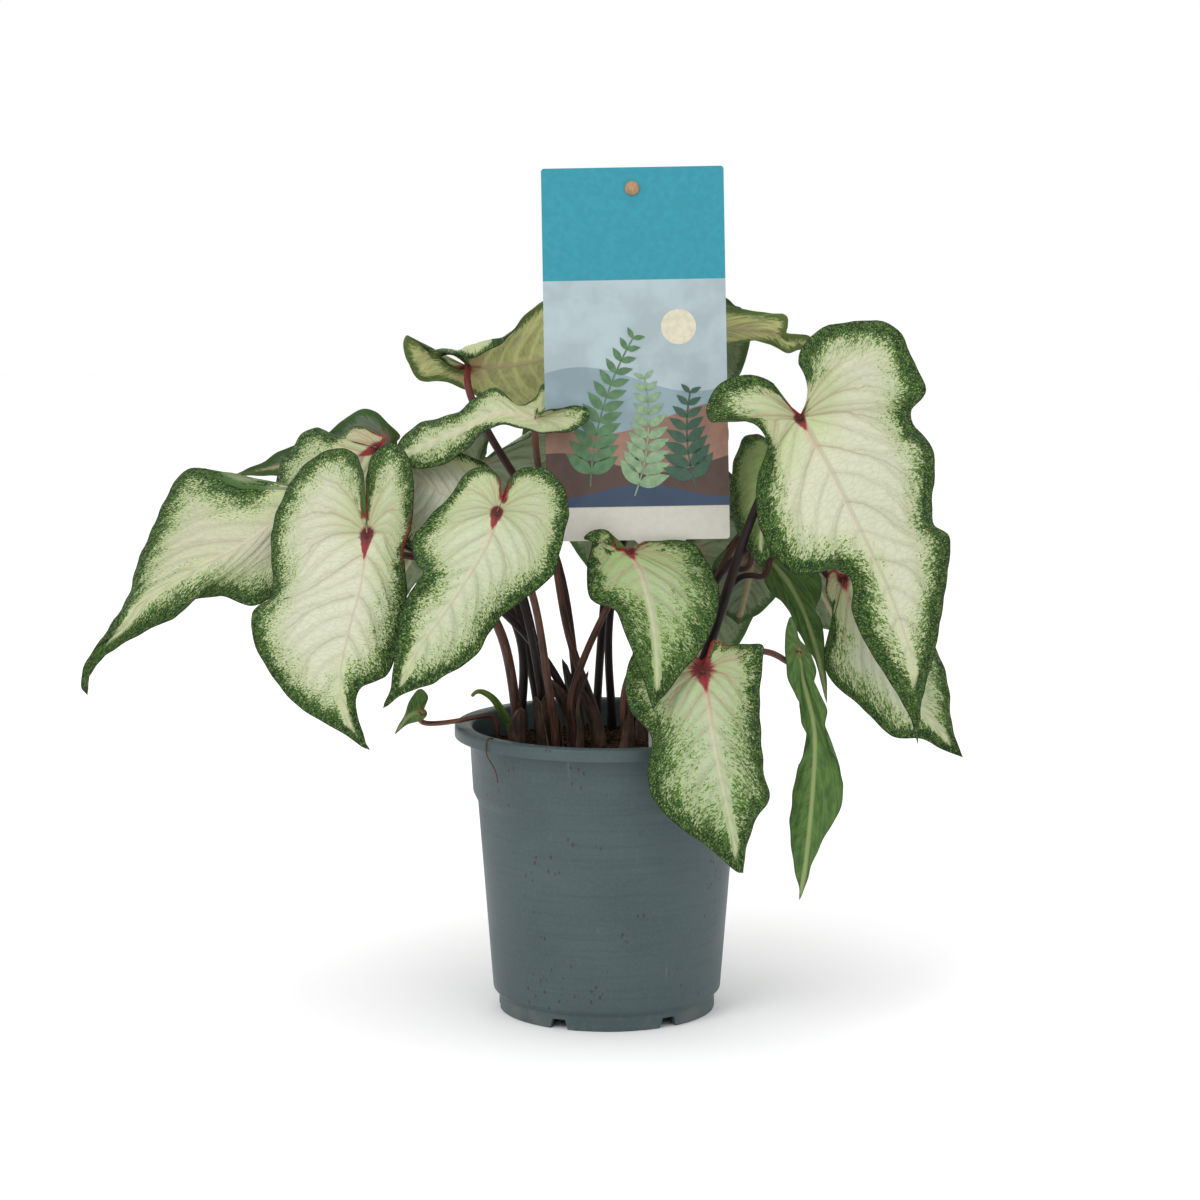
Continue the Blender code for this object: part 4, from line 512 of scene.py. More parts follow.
def upper_material(name, look):
    """A blade's upper side: pale with grey-green veins, a red heart and a speckled dark green margin."""
    s = Shader(name + "_upper", look.pale)
    rim, rib, heart, grain, vein = s.blade_parts()
    along = s.stretch(grain, 1.0, 0.55, 1.0)
    clouds = s.noise(grain, 0.16, 3.0)
    mottle = s.noise(grain, 0.55, 3.0, 0.6)
    fine = s.noise(along, 1.55, 3.0, 0.72)
    flecks = s.noise(along, 1.9, 2.0, 0.7, 0.4)
    tissue = s.noise(s.stretch(grain, 1.0, 0.6, 1.0), 2.6, 2.0, 0.6)

    # The pale middle turns yellow-green outwards, with thin nets of veins in it
    near_rim = s.add(rim, s.times(s.less(clouds, 0.5), 10.0))
    s.lay(s.step(near_rim, look.band, look.band + look.reach * 1.3, 1.0, 0.0), look.tint)
    s.lay(s.step(mottle, 0.35, 0.7, 0.0, 0.35), toned(look.pale, 1.0, -14))
    net = s.cells(along, 0.42, "DISTANCE_TO_EDGE")
    s.lay(s.step(net, 0.0, 0.09, 0.16, 0.0), VEIN_GREY)
    s.lay(s.step(tissue, 0.35, 0.75, 0.0, 0.22), look.tint)

    # Main veins are thin and grey-green, and the midrib is broad and cream with a rosy start
    s.lay(s.step(vein, 0.1, 1.8, 0.22, 0.0), VEIN_GREY)
    s.lay(s.step(vein, 0.05, 0.6, 0.34, 0.0), VEIN_DEEP)
    pink = s.step(heart, 6.0, 34.0, 0.7 * look.rosy, 0.0)
    s.lay(s.times(pink, s.step(vein, 0.05, 0.9, 1.0, 0.0)), RIB_PINK)
    rib_width = s.step(heart, 4.0, 70.0, 1.7, 0.5)
    on_rib = s.step(s.over(rib, rib_width), 0.2, 1.3, 0.68, 0.0)
    rosy = s.step(heart, 3.0, 16.0 + 16.0 * look.rosy, look.rosy, 0.0)
    s.base = s.mix(on_rib, s.base, s.mix(rosy, colour(*RIB_CREAM), colour(*RIB_PINK)))

    # Green specks grow denser towards the margin and close up into a solid band
    out = s.add(rim, s.times(s.less(clouds, 0.5), look.reach * 0.9))
    narrow = s.step(heart, 6.0, 30.0, 0.1, 1.0)
    band = s.times(narrow, look.band)
    far = s.over(s.less(out, band), s.times(narrow, look.reach), True)
    keep = s.add(s.times(s.math("POWER", far, 0.5), 0.35), 0.285)
    keep = s.add(keep, s.step(vein, 0.0, 1.2, 0.05, 0.0))
    keep = s.add(keep, s.step(rib, 0.3, 2.5, 0.35, 0.0))
    specks = s.times(s.step(s.less(fine, keep), -0.008, 0.022), s.step(far, 0.93, 1.0, 1.0, 0.0))
    solid = s.step(s.less(s.add(rim, s.times(mottle, 1.6)), band), 0.5, 2.2, 1.0, 0.0)
    green = s.mix(s.step(far, 0.05, 0.8), colour(*MID_GREEN), colour(*SPECK_GREEN))
    deep = s.step(s.less(rim, band), -0.5, look.reach * 0.42, 1.0, 0.0)
    green = s.mix(deep, green, colour(*DEEP_GREEN))
    green = s.mix(s.step(mottle, 0.42, 0.68, 0.0, 0.45), green, colour(*SPECK_GREEN))
    lit = s.less(flecks, s.less(0.565, s.times(far, 0.14)))
    green = s.mix(s.step(lit, 0.0, 0.05, 0.0, 0.85), green, colour(*FLECK_GREEN))
    s.base = s.mix(s.math("MAXIMUM", solid, specks), s.base, green)
    s.lay(s.step(rim, 0.12, 0.5, 0.8, 0.0), EDGE_DARK)

    # The red heart runs down the midrib or out along the veins, and a few dark spots lie in the pale
    ray = s.math("MINIMUM", rib, s.add(vein, 4.0 * (1.0 - look.burst)))
    reach = s.times(s.step(ray, -0.7, 2.9, 1.0, 0.26 + 0.25 * look.burst), look.heart)
    red = s.less(reach, s.add(heart, s.times(s.less(mottle, 0.5), 4.0)))
    blood = s.mix(s.step(heart, 0.8, 0.5 * look.heart + 1.0), colour(*HEART_DARK), colour(*HEART_RED))
    s.base = s.mix(s.step(red, -0.9 - 2.4 * look.burst, 0.9, 0.0, 0.95), s.base, blood)
    sinus = s.step(heart, 0.9 * look.heart, 1.9 * look.heart + 0.1, 0.9, 0.0)
    s.lay(s.times(s.step(rim, 0.6, 1.8, 1.0, 0.0), sinus), HEART_RED)
    spot = s.cells(s.stretch(grain, 1.0, 0.4, 1.0), 0.055)
    s.lay(s.step(spot, 0.026, 0.042, 0.85, 0.0), SPOT_DARK)

    relief = s.add(s.times(tissue, 0.4), s.step(net, 0.0, 0.1, 0.0, 0.3))
    s.bump(s.add(relief, s.step(vein, 0.2, 2.4, 0.0, 1.5)), 0.5, 0.0008)
    return s.finish(Roughness=s.step(clouds, 0.3, 0.7, 0.42, 0.56), Specular_IOR_Level=0.16)


def lower_material(name, pale):
    """A blade's underside: duller, with paler raised veins and a thin green margin."""
    s = Shader(name + "_lower", pale)
    rim, rib, heart, grain, vein = s.blade_parts()
    clouds = s.noise(grain, 0.2, 3.0)
    fine = s.noise(s.stretch(grain, 1.0, 0.35, 1.0), 1.1, 3.0, 0.65)
    s.lay(s.step(fine, 0.3, 0.72), toned(pale, 0.86))
    s.lay(s.step(clouds, 0.4, 0.65, 0.0, 0.5), toned(pale, 1.12))
    s.lay(s.step(vein, 0.2, 1.6, 0.6, 0.0), toned(pale, 1.14, 8))
    s.lay(s.step(rib, 0.5, 1.6, 0.8, 0.0), UNDER_RIB)
    s.lay(s.step(heart, 2.0, 12.0, UNDER_ROSY, 0.0), UNDER_HEART)
    edge = s.add(rim, s.times(s.less(fine, 0.5), 7.0))
    s.lay(s.step(edge, UNDER_BAND, UNDER_BAND * 2.6, 0.85, 0.0), MID_GREEN)
    s.bump(fine, 0.3, 0.0005)
    return s.finish(Roughness=0.6, Specular_IOR_Level=0.14)


def green_material(name):
    """Both sides of a plain green blade, with a pale midrib and fine veins."""
    s = Shader(name, (88, 124, 58))
    rim, rib, heart, grain, vein = s.blade_parts()
    clouds = s.noise(grain, 0.22, 3.0)
    fine = s.noise(s.stretch(grain, 1.0, 0.3, 1.0), 1.0, 3.0, 0.6)
    s.lay(s.step(clouds, 0.35, 0.68), (62, 96, 46))
    s.lay(s.step(fine, 0.45, 0.75, 0.0, 0.4), (118, 150, 80))
    s.lay(s.step(vein, 0.1, 0.7, 0.35, 0.0), (130, 156, 92))
    s.lay(s.step(rib, 0.3, 1.2, 0.75, 0.0), (168, 182, 120))
    s.lay(s.step(rim, 0.1, 0.7, 0.6, 0.0), (48, 66, 38))
    s.lay(s.step(heart, 0.5, 4.0, 0.5, 0.0), (120, 84, 60))
    s.bump(fine, 0.3, 0.0004)
    return s.finish(Roughness=0.5, Specular_IOR_Level=0.2)


def stalk_material(name, low, high, top):
    """A ribbed, streaked stalk, dark at its foot and rosy where it meets the blade."""
    s = Shader(name, low)
    rise, grain = s.attribute("rise"), s.grain()
    streak = s.noise(s.stretch(grain, 1.0, 0.06, 1.0), 1.6, 3.0, 0.6)
    blot = s.noise(s.stretch(grain, 1.0, 0.3, 1.0), 0.35, 2.0)
    s.lay(s.step(rise, 0.05, 0.7), high)
    s.lay(s.step(streak, 0.4, 0.7, 0.0, 0.55), toned(high, 1.45, 8))
    s.lay(s.step(blot, 0.45, 0.7, 0.0, 0.6), toned(low, 0.55))
    s.lay(s.step(rise, 0.84, 1.0), top)
    s.bump(streak, 0.4, 0.0004)
    return s.finish(Roughness=0.42, Specular_IOR_Level=0.2)


def pot_material():
    """Thin blue-grey recycled plastic with dust, specks of dirt and scuffs."""
    s = Shader("pot_plastic_look", (76, 92, 94))
    place = s.position()
    level = s.node("SeparateXYZ", {0: place}, "Z")
    clouds = s.noise(place, 26.0, 3.0)
    cloth = s.noise(place, 900.0, 2.0, 0.6)
    rings = s.noise(s.stretch(place, 1.0, 1.0, 22.0), 30.0, 2.0)
    s.lay(s.step(clouds, 0.3, 0.7), (84, 101, 103))
    s.lay(s.step(rings, 0.45, 0.7, 0.0, 0.35), (70, 86, 89))
    s.lay(s.step(cloth, 0.4, 0.75, 0.0, 0.25), (100, 116, 118))
    dust = s.times(s.noise(place, 60.0, 4.0, 0.7), s.step(level, 0.0, 0.022, 1.0, 0.25))
    s.lay(s.step(dust, 0.42, 0.62, 0.0, 0.5), (118, 122, 116))
    grit = s.step(s.cells(s.stretch(place, 1.0, 1.0, 0.6), 420.0), 0.10, 0.30, 0.8, 0.0)
    s.lay(s.times(grit, s.step(s.noise(place, 45.0, 3.0), 0.53, 0.64)), (74, 54, 44))
    scuff = s.noise(s.stretch(place, 1.0, 1.0, 0.12), 170.0, 3.0, 0.75)
    s.lay(s.step(scuff, 0.66, 0.74, 0.0, 0.4), (128, 142, 144))
    s.bump(s.add(cloth, s.times(rings, 0.6)), 0.25, 0.0004)
    return s.finish(Roughness=s.step(clouds, 0.3, 0.7, 0.42, 0.56), Specular_IOR_Level=0.25)


def soil_material(name, low, mid, high, scale):
    """Dark fibrous potting soil."""
    s = Shader(name, low)
    place = s.position()
    coarse = s.noise(place, scale, 4.0, 0.65)
    fine = s.noise(place, scale * 6.0, 3.0, 0.7)
    s.lay(s.step(coarse, 0.35, 0.65), mid)
    s.lay(s.step(fine, 0.55, 0.78, 0.0, 0.7), high)
    s.bump(s.add(coarse, fine), 0.8, 0.001)
    return s.finish(Roughness=0.95, Specular_IOR_Level=0.1)


def plain_material(name, tone, roughness=0.38, spread=0.06, scale=400.0):
    """A printed or papery surface of nearly one tone, with a faint grain."""
    s = Shader(name, tone)
    grain = s.noise(s.position(), scale, 3.0, 0.6)
    s.lay(s.step(grain, 0.35, 0.65), toned(tone, 1.0 - spread))
    s.bump(grain, 0.12, 0.0002)
    return s.finish(Roughness=roughness)


def husk_material():
    """Dry papery sheath, streaked along its length."""
    s = Shader("husk", (60, 43, 34))
    grain = s.grain()
    streak = s.noise(s.stretch(grain, 1.0, 0.08, 1.0), 1.4, 3.0, 0.6)
    blot = s.noise(grain, 0.2, 3.0)
    s.lay(s.step(streak, 0.3, 0.7), (112, 82, 60))
    s.lay(s.step(blot, 0.4, 0.7, 0.0, 0.7), (40, 30, 26))
    s.bump(streak, 0.5, 0.0005)
    return s.finish(Roughness=0.7)


def wood_material():
    s = Shader("peg_wood", (196, 160, 118))
    rings = s.noise(s.stretch(s.position(), 1.0, 1.0, 0.25), 1500.0, 3.0, 0.6)
    s.lay(s.step(rings, 0.3, 0.7), (160, 122, 84))
    s.bump(rings, 0.3, 0.0003)
    return s.finish(Roughness=0.6)


def mesh_object(name, points, faces, materials, face_slots=None, smooth=True):
    """A piece of the model, placed in the frame by its vertices."""
    mesh = bpy.data.meshes.new(name)
    mesh.from_pydata([tuple(point) for point in points], [], [tuple(face) for face in faces])
    for finish in materials:
        mesh.materials.append(finish)
    if face_slots is not None:
        mesh.polygons.foreach_set("material_index", np.array(face_slots, dtype=np.int32))
    if smooth:
        mesh.shade_smooth()
    mesh.update()
    made = bpy.data.objects.new(name, mesh)
    bpy.context.scene.collection.objects.link(made)
    return made


def store(thing, name, values):
    """Keep one number, or one vector, for each vertex."""
    values = np.asarray(values, dtype=np.float32)
    kind, key = ("FLOAT_VECTOR", "vector") if values.ndim == 2 else ("FLOAT", "value")
    thing.data.attributes.new(name, kind, "POINT").data.foreach_set(key, values.ravel())


def sight_lines(places):
    """Unit lines from the eye through drawn places, one row each."""
    forward = np.array((0.0, math.cos(EYE_PITCH), -math.sin(EYE_PITCH)))
    upward = np.array((0.0, math.sin(EYE_PITCH), math.cos(EYE_PITCH)))
    rightward = np.array((1.0, 0.0, 0.0))
    across = places[..., 0:1] - EYE_CENTRE
    above = EYE_CENTRE - places[..., 1:2]
    lines = forward * EYE_FOCAL + rightward * across + upward * above
    return lines / np.linalg.norm(lines, axis=-1, keepdims=True)


def place_at_depth(u, v, depth):
    """The point seen at (u, v) whose y is depth, given in mm."""
    line = sight_lines(np.array((u, v), dtype=float))
    return AXIS + EYE + line * ((depth * MM - EYE[1]) / line[1])


def face_normal(face):
    turn, tilt = (math.radians(angle) for angle in face)
    return np.array((math.sin(turn) * math.cos(tilt), -math.cos(turn) * math.cos(tilt), math.sin(tilt)))


def lay_on_plane(places, origin, normal):
    """Lay drawn places (u, v, added depth in mm) on the plane through origin."""
    lines = sight_lines(places)
    eye = AXIS + EYE
    reach = ((origin - eye) @ normal) / (lines @ normal)
    return eye + lines * (reach + places[..., 2] * MM)[..., None]


def full_rows(places):
    return np.array([tuple(place) + (0.0,) * (PLACE_VALUES - len(place)) for place in places])


def smooth_rows(rows, count, turn_weight):
    """A Catmull-Rom curve through the rows, read at count steps, closer together where it turns."""
    padded = np.vstack((2 * rows[0] - rows[1], rows, 2 * rows[-1] - rows[-2]))
    dense = []
    for before, start, end, after in zip(padded, padded[1:], padded[2:], padded[3:]):
        for step in range(SPAN_STEPS):
            t = step / SPAN_STEPS
            dense.append(0.5 * (2 * start + (end - before) * t
                                + (2 * before - 5 * start + 4 * end - after) * t ** 2
                                + (3 * start - before - 3 * end + after) * t ** 3))
    dense.append(rows[-1])
    dense = np.array(dense)
    spans = np.diff(dense[:, :3], axis=0)
    steps = np.linalg.norm(spans, axis=1)
    heading = np.unwrap(np.arctan2(spans[:, 1], spans[:, 0]))
    turning = np.abs(np.gradient(heading)) * turn_weight
    length = np.concatenate(((0.0,), np.cumsum(steps + turning)))
    wanted = np.linspace(0.0, length[-1], count)
    return np.stack([np.interp(wanted, length, dense[:, k]) for k in range(dense.shape[1])], axis=1)


def side_grid(margin, rib, stations, rings):
    """Places from the rib out to one margin, by station from the tip to the notch and by ring."""
    rim = smooth_rows(full_rows(margin), stations + 1, TURN_WEIGHT)[::-1]
    spine = smooth_rows(full_rows(rib), SPINE_STEPS, 0.0)[:, :3]
    along = np.maximum(0.0, 1.0 - np.linspace(0.0, 1.0, stations + 1) / RIB_SHARE)
    spine_shares = np.linspace(0.0, 1.0, SPINE_STEPS)
    start = np.stack([np.interp(along, spine_shares, spine[:, k]) for k in range(3)], axis=1)
    end, bend = rim[:, :3], rim[:, 3:]
    span = (end - start)[:, :2]
    length = np.maximum(np.linalg.norm(span, axis=1, keepdims=True), 1e-9)
    toward = spine[0, :2] - (start + end)[:, :2] / 2
    side = toward - span * np.sum(toward * span, axis=1, keepdims=True) / length ** 2
    side /= np.maximum(np.linalg.norm(side, axis=1, keepdims=True), 1e-9)
    fade = np.clip(np.minimum(along, 1.0 - along) / BOW_FADE, 0.0, 1.0)[:, None]
    side *= VEIN_BOW * length * fade
    shares = np.linspace(0.0, 1.0, rings + 1)[None, :, None]
    hump = 4 * shares * (1 - shares)
    grid = start[:, None, :] + (end - start)[:, None, :] * shares
    grid[..., :2] += (bend[:, :2] + side)[:, None, :] * hump
    rise = (end - start)[:, None, 2:] * shares ** RIM_POWER
    grid[..., 2:] = start[:, None, 2:] + rise + bend[:, None, 2:] * hump
    return grid


def number_blade(stations, rings):
    """Vertex numbers of both sides' grids. They share the rib, the heart, the tip and the notch's ray."""
    left = np.arange((stations + 1) * (rings + 1)).reshape(stations + 1, rings + 1)
    left[0, :] = left[0, 0]
    on_heart = np.arange(stations + 1) / stations >= RIB_SHARE
    left[on_heart, 0] = left[stations, 0]
    right = left + left.size
    right[:, 0] = left[:, 0]
    right[0, :] = left[0, 0]
    right[stations, :] = left[stations, :]
    return left, right


def nearest_distance(points, line):
    """Each point's distance to a polyline."""
    start, end = line[:-1], line[1:]
    span = end - start
    size = np.maximum(np.sum(span * span, axis=1), 1e-18)
    best = np.full(len(points), np.inf)
    for first, along, square in zip(start, span, size):
        share = np.clip((points - first) @ along / square, 0.0, 1.0)[:, None]
        best = np.minimum(best, np.linalg.norm(points - first - along * share, axis=1))
    return best


def sheet_normals(points, faces):
    normals = np.zeros_like(points)
    a, b, c, d = (points[faces[:, k]] for k in range(4))
    across = np.cross(c - a, d - b)
    for k in range(4):
        np.add.at(normals, faces[:, k], across)
    return normals / np.maximum(np.linalg.norm(normals, axis=1, keepdims=True), 1e-12)


def smooth_step(values, low, high):
    share = np.clip((values - low) / (high - low), 0.0, 1.0)
    return share * share * (3 - 2 * share)


def vein_distance(grids, stations, rings):
    """How far in mm every place of both grids lies from the nearest vein or fork of one."""
    ring = np.arange(rings + 1)
    nearest = np.full(grids.shape[:3], FAR_AWAY)
    for number in range(1, VEINS + 1):
        sweep = VEIN_SWEEP * (1.0 - (number / VEINS) ** 3) * (ring / rings) ** SWEEP_POWER
        for start, spread, fainter in FORKS:
            run = np.clip((ring / rings - start) / (1.0 - start), 0.0, 1.0)
            at = VEIN_STATIONS * (number + spread * run - sweep)
            away = (at < 0) | (at > stations) | (ring < start * rings)
            at = np.clip(at, 0, stations - 1e-6)
            low = at.astype(int)
            share = (at - low)[None, :, None]
            line = grids[:, low, ring] * (1.0 - share) + grids[:, low + 1, ring] * share
            far = np.linalg.norm(grids - line[:, None], axis=3) / MM + fainter
            far[:, :, away] = FAR_AWAY
            nearest = np.minimum(nearest, far)
    return nearest.reshape(-1)


def grid_quads(numbers):
    """Corners of the cells of both halves, the left one's turned over so that all face up."""
    quads = []
    for grid, flip in zip(numbers, (True, False)):
        corners = (grid[:-1, :-1], grid[:-1, 1:], grid[1:, 1:], grid[1:, :-1])
        corners = np.stack(corners, axis=-1).reshape(-1, 4)
        quads.append(corners[:, ::-1] if flip else corners)
    return np.vstack(quads)


def closed_faces(quads, numbers, count):
    """Faces and material slots of the upper side, the lower side, numbered count further on, and the rim."""
    faces, slots = [], []
    for quad in quads:
        corner = [k for n, k in enumerate(quad) if k != quad[n - 1]]
        if len(corner) >= 3:
            faces += [corner, [k + count for k in reversed(corner)]]
            slots += [0, 1]
    loop = list(numbers[0][:, -1]) + list(numbers[1][-2:0:-1, -1])
    for first, second in zip(loop, loop[1:] + loop[:1]):
        faces.append([first, second, second + count, first + count])
        slots.append(0)
    return faces, slots


def margin_lengths(grid):
    """How far along the margin each station lies from the tip."""
    return np.concatenate(((0.0,), np.cumsum(np.linalg.norm(np.diff(grid[:, -1], axis=0), axis=1))))


def blade_patterns(points, left, right, seed):
    """Each vertex's place among the veins, as station, ring and pitch in mm, and its grain."""
    stations, rings = left.shape[0] - 1, left.shape[1] - 1
    station = np.tile(np.repeat(np.arange(stations + 1), rings + 1), 2)
    ring = np.tile(np.arange(rings + 1), 2 * (stations + 1))
    grids = np.stack((left, right))
    side = np.repeat((0, 1), (stations + 1) * (rings + 1))
    after, before = np.minimum(station + 1, stations), np.maximum(station - 1, 0)
    pitch = np.linalg.norm(grids[side, after, ring] - grids[side, before, ring], axis=1) / (after - before)
    weave = np.stack((station / VEIN_STATIONS, ring / rings, pitch * VEIN_STATIONS / MM), axis=1)
    margin = np.concatenate([margin_lengths(grid) for grid in grids]) / MM
    shift = np.array((0.0, HALF_SHIFT))[side] + seed * LEAF_SHIFT[0]
    along = margin[side * (stations + 1) + station] + shift
    ray = np.linalg.norm(points - grids[side, station, 0], axis=1) / MM
    return weave, np.stack((along, ray, np.full(len(points), seed * LEAF_SHIFT[1])), axis=1)


def fold_lines(vein, rib, over_vein, over_rib):
    """How deep the grooves or ridges of the veins and the midrib are, each given as (depth, width)."""
    (vein_depth, vein_width), (rib_depth, rib_width) = over_vein, over_rib
    return vein_depth * np.exp(-(vein / vein_width) ** 2) + rib_depth * np.exp(-(rib / rib_width) ** 2)


def blade_object(name, left, right, materials, seed):
    """A closed blade over both halves' grids, with grooved veins above and ridges below.

    It gives the heart's place and the way that the upper side faces there."""
    stations, rings = left.shape[0] - 1, left.shape[1] - 1
    left, right = left.copy(), right.copy()
    seam = (left[stations] + right[stations]) / 2
    left[stations], right[stations] = seam, seam
    numbers = number_blade(stations, rings)
    points = np.vstack((left.reshape(-1, 3), right.reshape(-1, 3)))
    quads = grid_quads(numbers)
    heart = left[stations, 0]
    rim = nearest_distance(points, np.vstack((left[:, rings], right[::-1, rings]))) / MM
    rib = nearest_distance(points, left[:, 0]) / MM
    from_heart = np.linalg.norm(points - heart, axis=1) / MM
    vein = vein_distance(np.stack((left, right)), stations, rings)
    weave, grain = blade_patterns(points, left, right, seed)

    normals = sheet_normals(points, quads)
    edge = 1.0 - smooth_step(rim, 0.0, RIM_REACH)
    ripple = RIPPLE * edge * np.sin(2 * math.pi * grain[:, 0] / RIPPLE_PITCH)
    pillow = QUILT * (smooth_step(vein, 0.0, QUILT_REACH["vein"]) - 0.5)
    pillow = pillow * smooth_step(rim, 0.0, QUILT_REACH["rim"]) * smooth_step(rib, 0.0, QUILT_REACH["rib"])
    centre = points + normals * ((ripple + pillow) * MM)[:, None]
    half = (EDGE_THICK + (MIDDLE_THICK - EDGE_THICK) * smooth_step(rim, 0.0, RIM_REACH)) / 2
    clear = smooth_step(rim, *RELIEF_START)
    groove = fold_lines(vein, rib, VEIN_GROOVE, RIB_GROOVE) * clear
    ridge = fold_lines(vein, rib, VEIN_RIDGE, RIB_RIDGE) * clear
    above = centre + normals * ((half - groove) * MM)[:, None]
    below = centre - normals * ((half + ridge) * MM)[:, None]

    # Vertices that two grids share are kept once
    solid = np.vstack((above, below))
    faces, slots = closed_faces(quads, numbers, len(points))
    used = np.unique(np.concatenate([np.array(face) for face in faces]))
    fresh = np.full(len(solid), -1)
    fresh[used] = np.arange(len(used))
    made = mesh_object(name, solid[used], [fresh[np.array(face)] for face in faces], materials, slots)
    patterns = {"rim": rim, "weave": weave, "rib": rib, "heart": from_heart, "grain": grain}
    for key, values in patterns.items():
        store(made, key, np.concatenate((values, values))[used])
    facing = normals[from_heart < HEART_REACH].sum(axis=0)
    return made, heart, facing / np.linalg.norm(facing)


def eased_curve(knots, count):
    """A smooth path that starts at the first knot, ends at the last and is drawn towards the others."""
    hull = np.array([knots[0]] * 2 + list(knots) + [knots[-1]] * 2)
    spans = len(hull) - 3
    path = []
    for t in np.linspace(0.0, spans, count):
        start = min(int(t), spans - 1)
        s = t - start
        weights = np.array(((1 - s) ** 3, 3 * s ** 3 - 6 * s ** 2 + 4,
                            -3 * s ** 3 + 3 * s ** 2 + 3 * s + 1, s ** 3))
        path.append(weights @ hull[start:start + 4] / 6)
    return np.array(path)


def tube_parts(path, radii, sides, ribbing=0.0, start=0):
    """Points, faces, and the rise and grain of a closed round tube along a path."""
    steps = np.gradient(path, axis=0)
    steps /= np.linalg.norm(steps, axis=1, keepdims=True)
    run = np.concatenate(((0.0,), np.cumsum(np.linalg.norm(np.diff(path, axis=0), axis=1))))
    side = np.array((1.0, 0.0, 0.0))
    points, rise, grain = [], [], []
    angles = 2 * math.pi * (np.arange(sides) + 0.5) / sides
    for place, along, radius, length in zip(path, steps, radii, run):
        side = side - along * (side @ along)
        side /= np.linalg.norm(side)
        other = np.cross(along, side)
        wide = radius * (1.0 + ribbing * np.cos(4 * angles))
        points.append(place + np.outer(wide * np.cos(angles), side) + np.outer(wide * np.sin(angles), other))
        rise += [length / run[-1]] * sides
        grain += [(angle * radius / MM, length / MM, 0.0) for angle in angles]
    faces = []
    for ring in range(len(path) - 1):
        for step in range(sides):
            after = (step + 1) % sides
            low = start + ring * sides
            faces.append((low + step, low + after, low + sides + after, low + sides + step))
    faces.append(tuple(start + k for k in reversed(range(sides))))
    faces.append(tuple(range(start + (len(path) - 1) * sides, start + len(path) * sides)))
    return np.vstack(points), faces, rise, grain


def stalk_path(base, passes, heart, normal):
    """From the soil, past the given points, to the back of the blade."""
    x, y = np.array(base) * MM + AXIS[:2]
    end = heart - normal * BLADE_SEAT * MM
    arrival = normal + np.array((0.0, 0.0, ARRIVAL_RISE))
    arrival /= np.linalg.norm(arrival)
    rise = [np.array((x, y, SOIL_TOP + height)) for height in STALK_RISE]
    upper = eased_curve([*rise, *passes, end - arrival * ARRIVAL_LENGTH, end], STALK_RINGS)
    return np.vstack(((x, y, SOIL_TOP - STALK_DEPTH), upper))


STALK_PATHS = {}


def stalk_object(name, base, radius, passes, heart, normal, finish):
    path = stalk_path(base, passes, heart, normal)
    STALK_PATHS[name] = (path, radius)
    share = np.linspace(0.0, 1.0, len(path))
    radii = radius + (STALK_TIP_RADIUS - radius) * share + STALK_FLARE * np.exp(-(1 - share) * FLARE_FADE)
    radii *= 1.0 + STALK_SWELL * np.sin(share * 9.0 + radius * 7.0)
    points, faces, rise, grain = tube_parts(path, radii * MM, STALK_SIDES, STALK_RIBBING)
    made = mesh_object(name + "_fine", points, faces, [finish])
    store(made, "rise", rise)
    store(made, "grain", np.array(grain) + np.array((base[0] * 3.0, base[1] * 5.0, base[0])))
    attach(made, "root")
    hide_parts(name)


def finish_blade(made, node):
    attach(made, "root")
    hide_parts(node)


def drawn_leaf(leaf, materials, stalk_finish, seed):
    """The fine blade and stalk of a leaf that is drawn from in front."""
    origin = place_at_depth(*leaf.heart)
    plane = face_normal(leaf.face)
    stations = VEINS * VEIN_STATIONS
    left, right = (lay_on_plane(side_grid(margin, leaf.rib, stations, RINGS), origin, plane)
                   for margin in (leaf.left, leaf.right))
    made, heart, facing = blade_object(leaf.name + "_fine", left, right, materials, seed)
    finish_blade(made, leaf.name)
    base, radius, passes = leaf.stalk
    passes = [place_at_depth(*place) for place in passes]
    stalk_object(leaf.name + "_stalk", base, radius, passes, heart, facing, stalk_finish)


def far_leaf(leaf, materials, stalk_finish, seed):
    """The fine blade and stalk of a leaf on the far side."""
    turn = math.radians(leaf.heading)
    dip = math.radians(leaf.dip)
    along = np.array((math.cos(turn) * math.cos(dip), math.sin(turn) * math.cos(dip), -math.sin(dip)))
    upward = np.array((math.cos(turn) * math.sin(dip), math.sin(turn) * math.sin(dip), math.cos(dip)))
    across = np.cross(upward, along)
    origin = AXIS + np.array(leaf.heart) * MM

    def lay(grid):
        return origin + (across * grid[..., 0:1] + along * grid[..., 1:2] + upward * grid[..., 2:3]) * MM

    def margin(sign):
        places = []
        for number, (wide, long) in enumerate(HEART_MARGIN):
            wave = WAVE_HEIGHT * math.sin(number * WAVE_STEP + leaf.length + sign)
            sag = leaf.droop * (long ** 2 if long > 0 else -LOBE_SAG * long)
            places.append((sign * wide * leaf.width, long * leaf.length, wave - sag))
        return places

    rib = [(0.0, share * leaf.length, -leaf.droop * share ** 2) for share in np.linspace(0.0, 1.0, 5)]
    left, right = (lay(side_grid(margin(sign), rib, VEINS * VEIN_STATIONS, RINGS)) for sign in (-1, 1))
    made, heart, facing = blade_object(leaf.name + "_fine", left, right, materials, seed)
    finish_blade(made, leaf.name)
    base = AXIS + np.array((*leaf.base, SOIL_TOP / MM)) * MM
    middle = base + (origin - base) * np.array(FAR_STALK_MIDDLE)
    middle[2] += FAR_STALK_LIFT
    stalk_object(leaf.name + "_stalk", leaf.base, leaf.radius, [middle], heart, facing, stalk_finish)


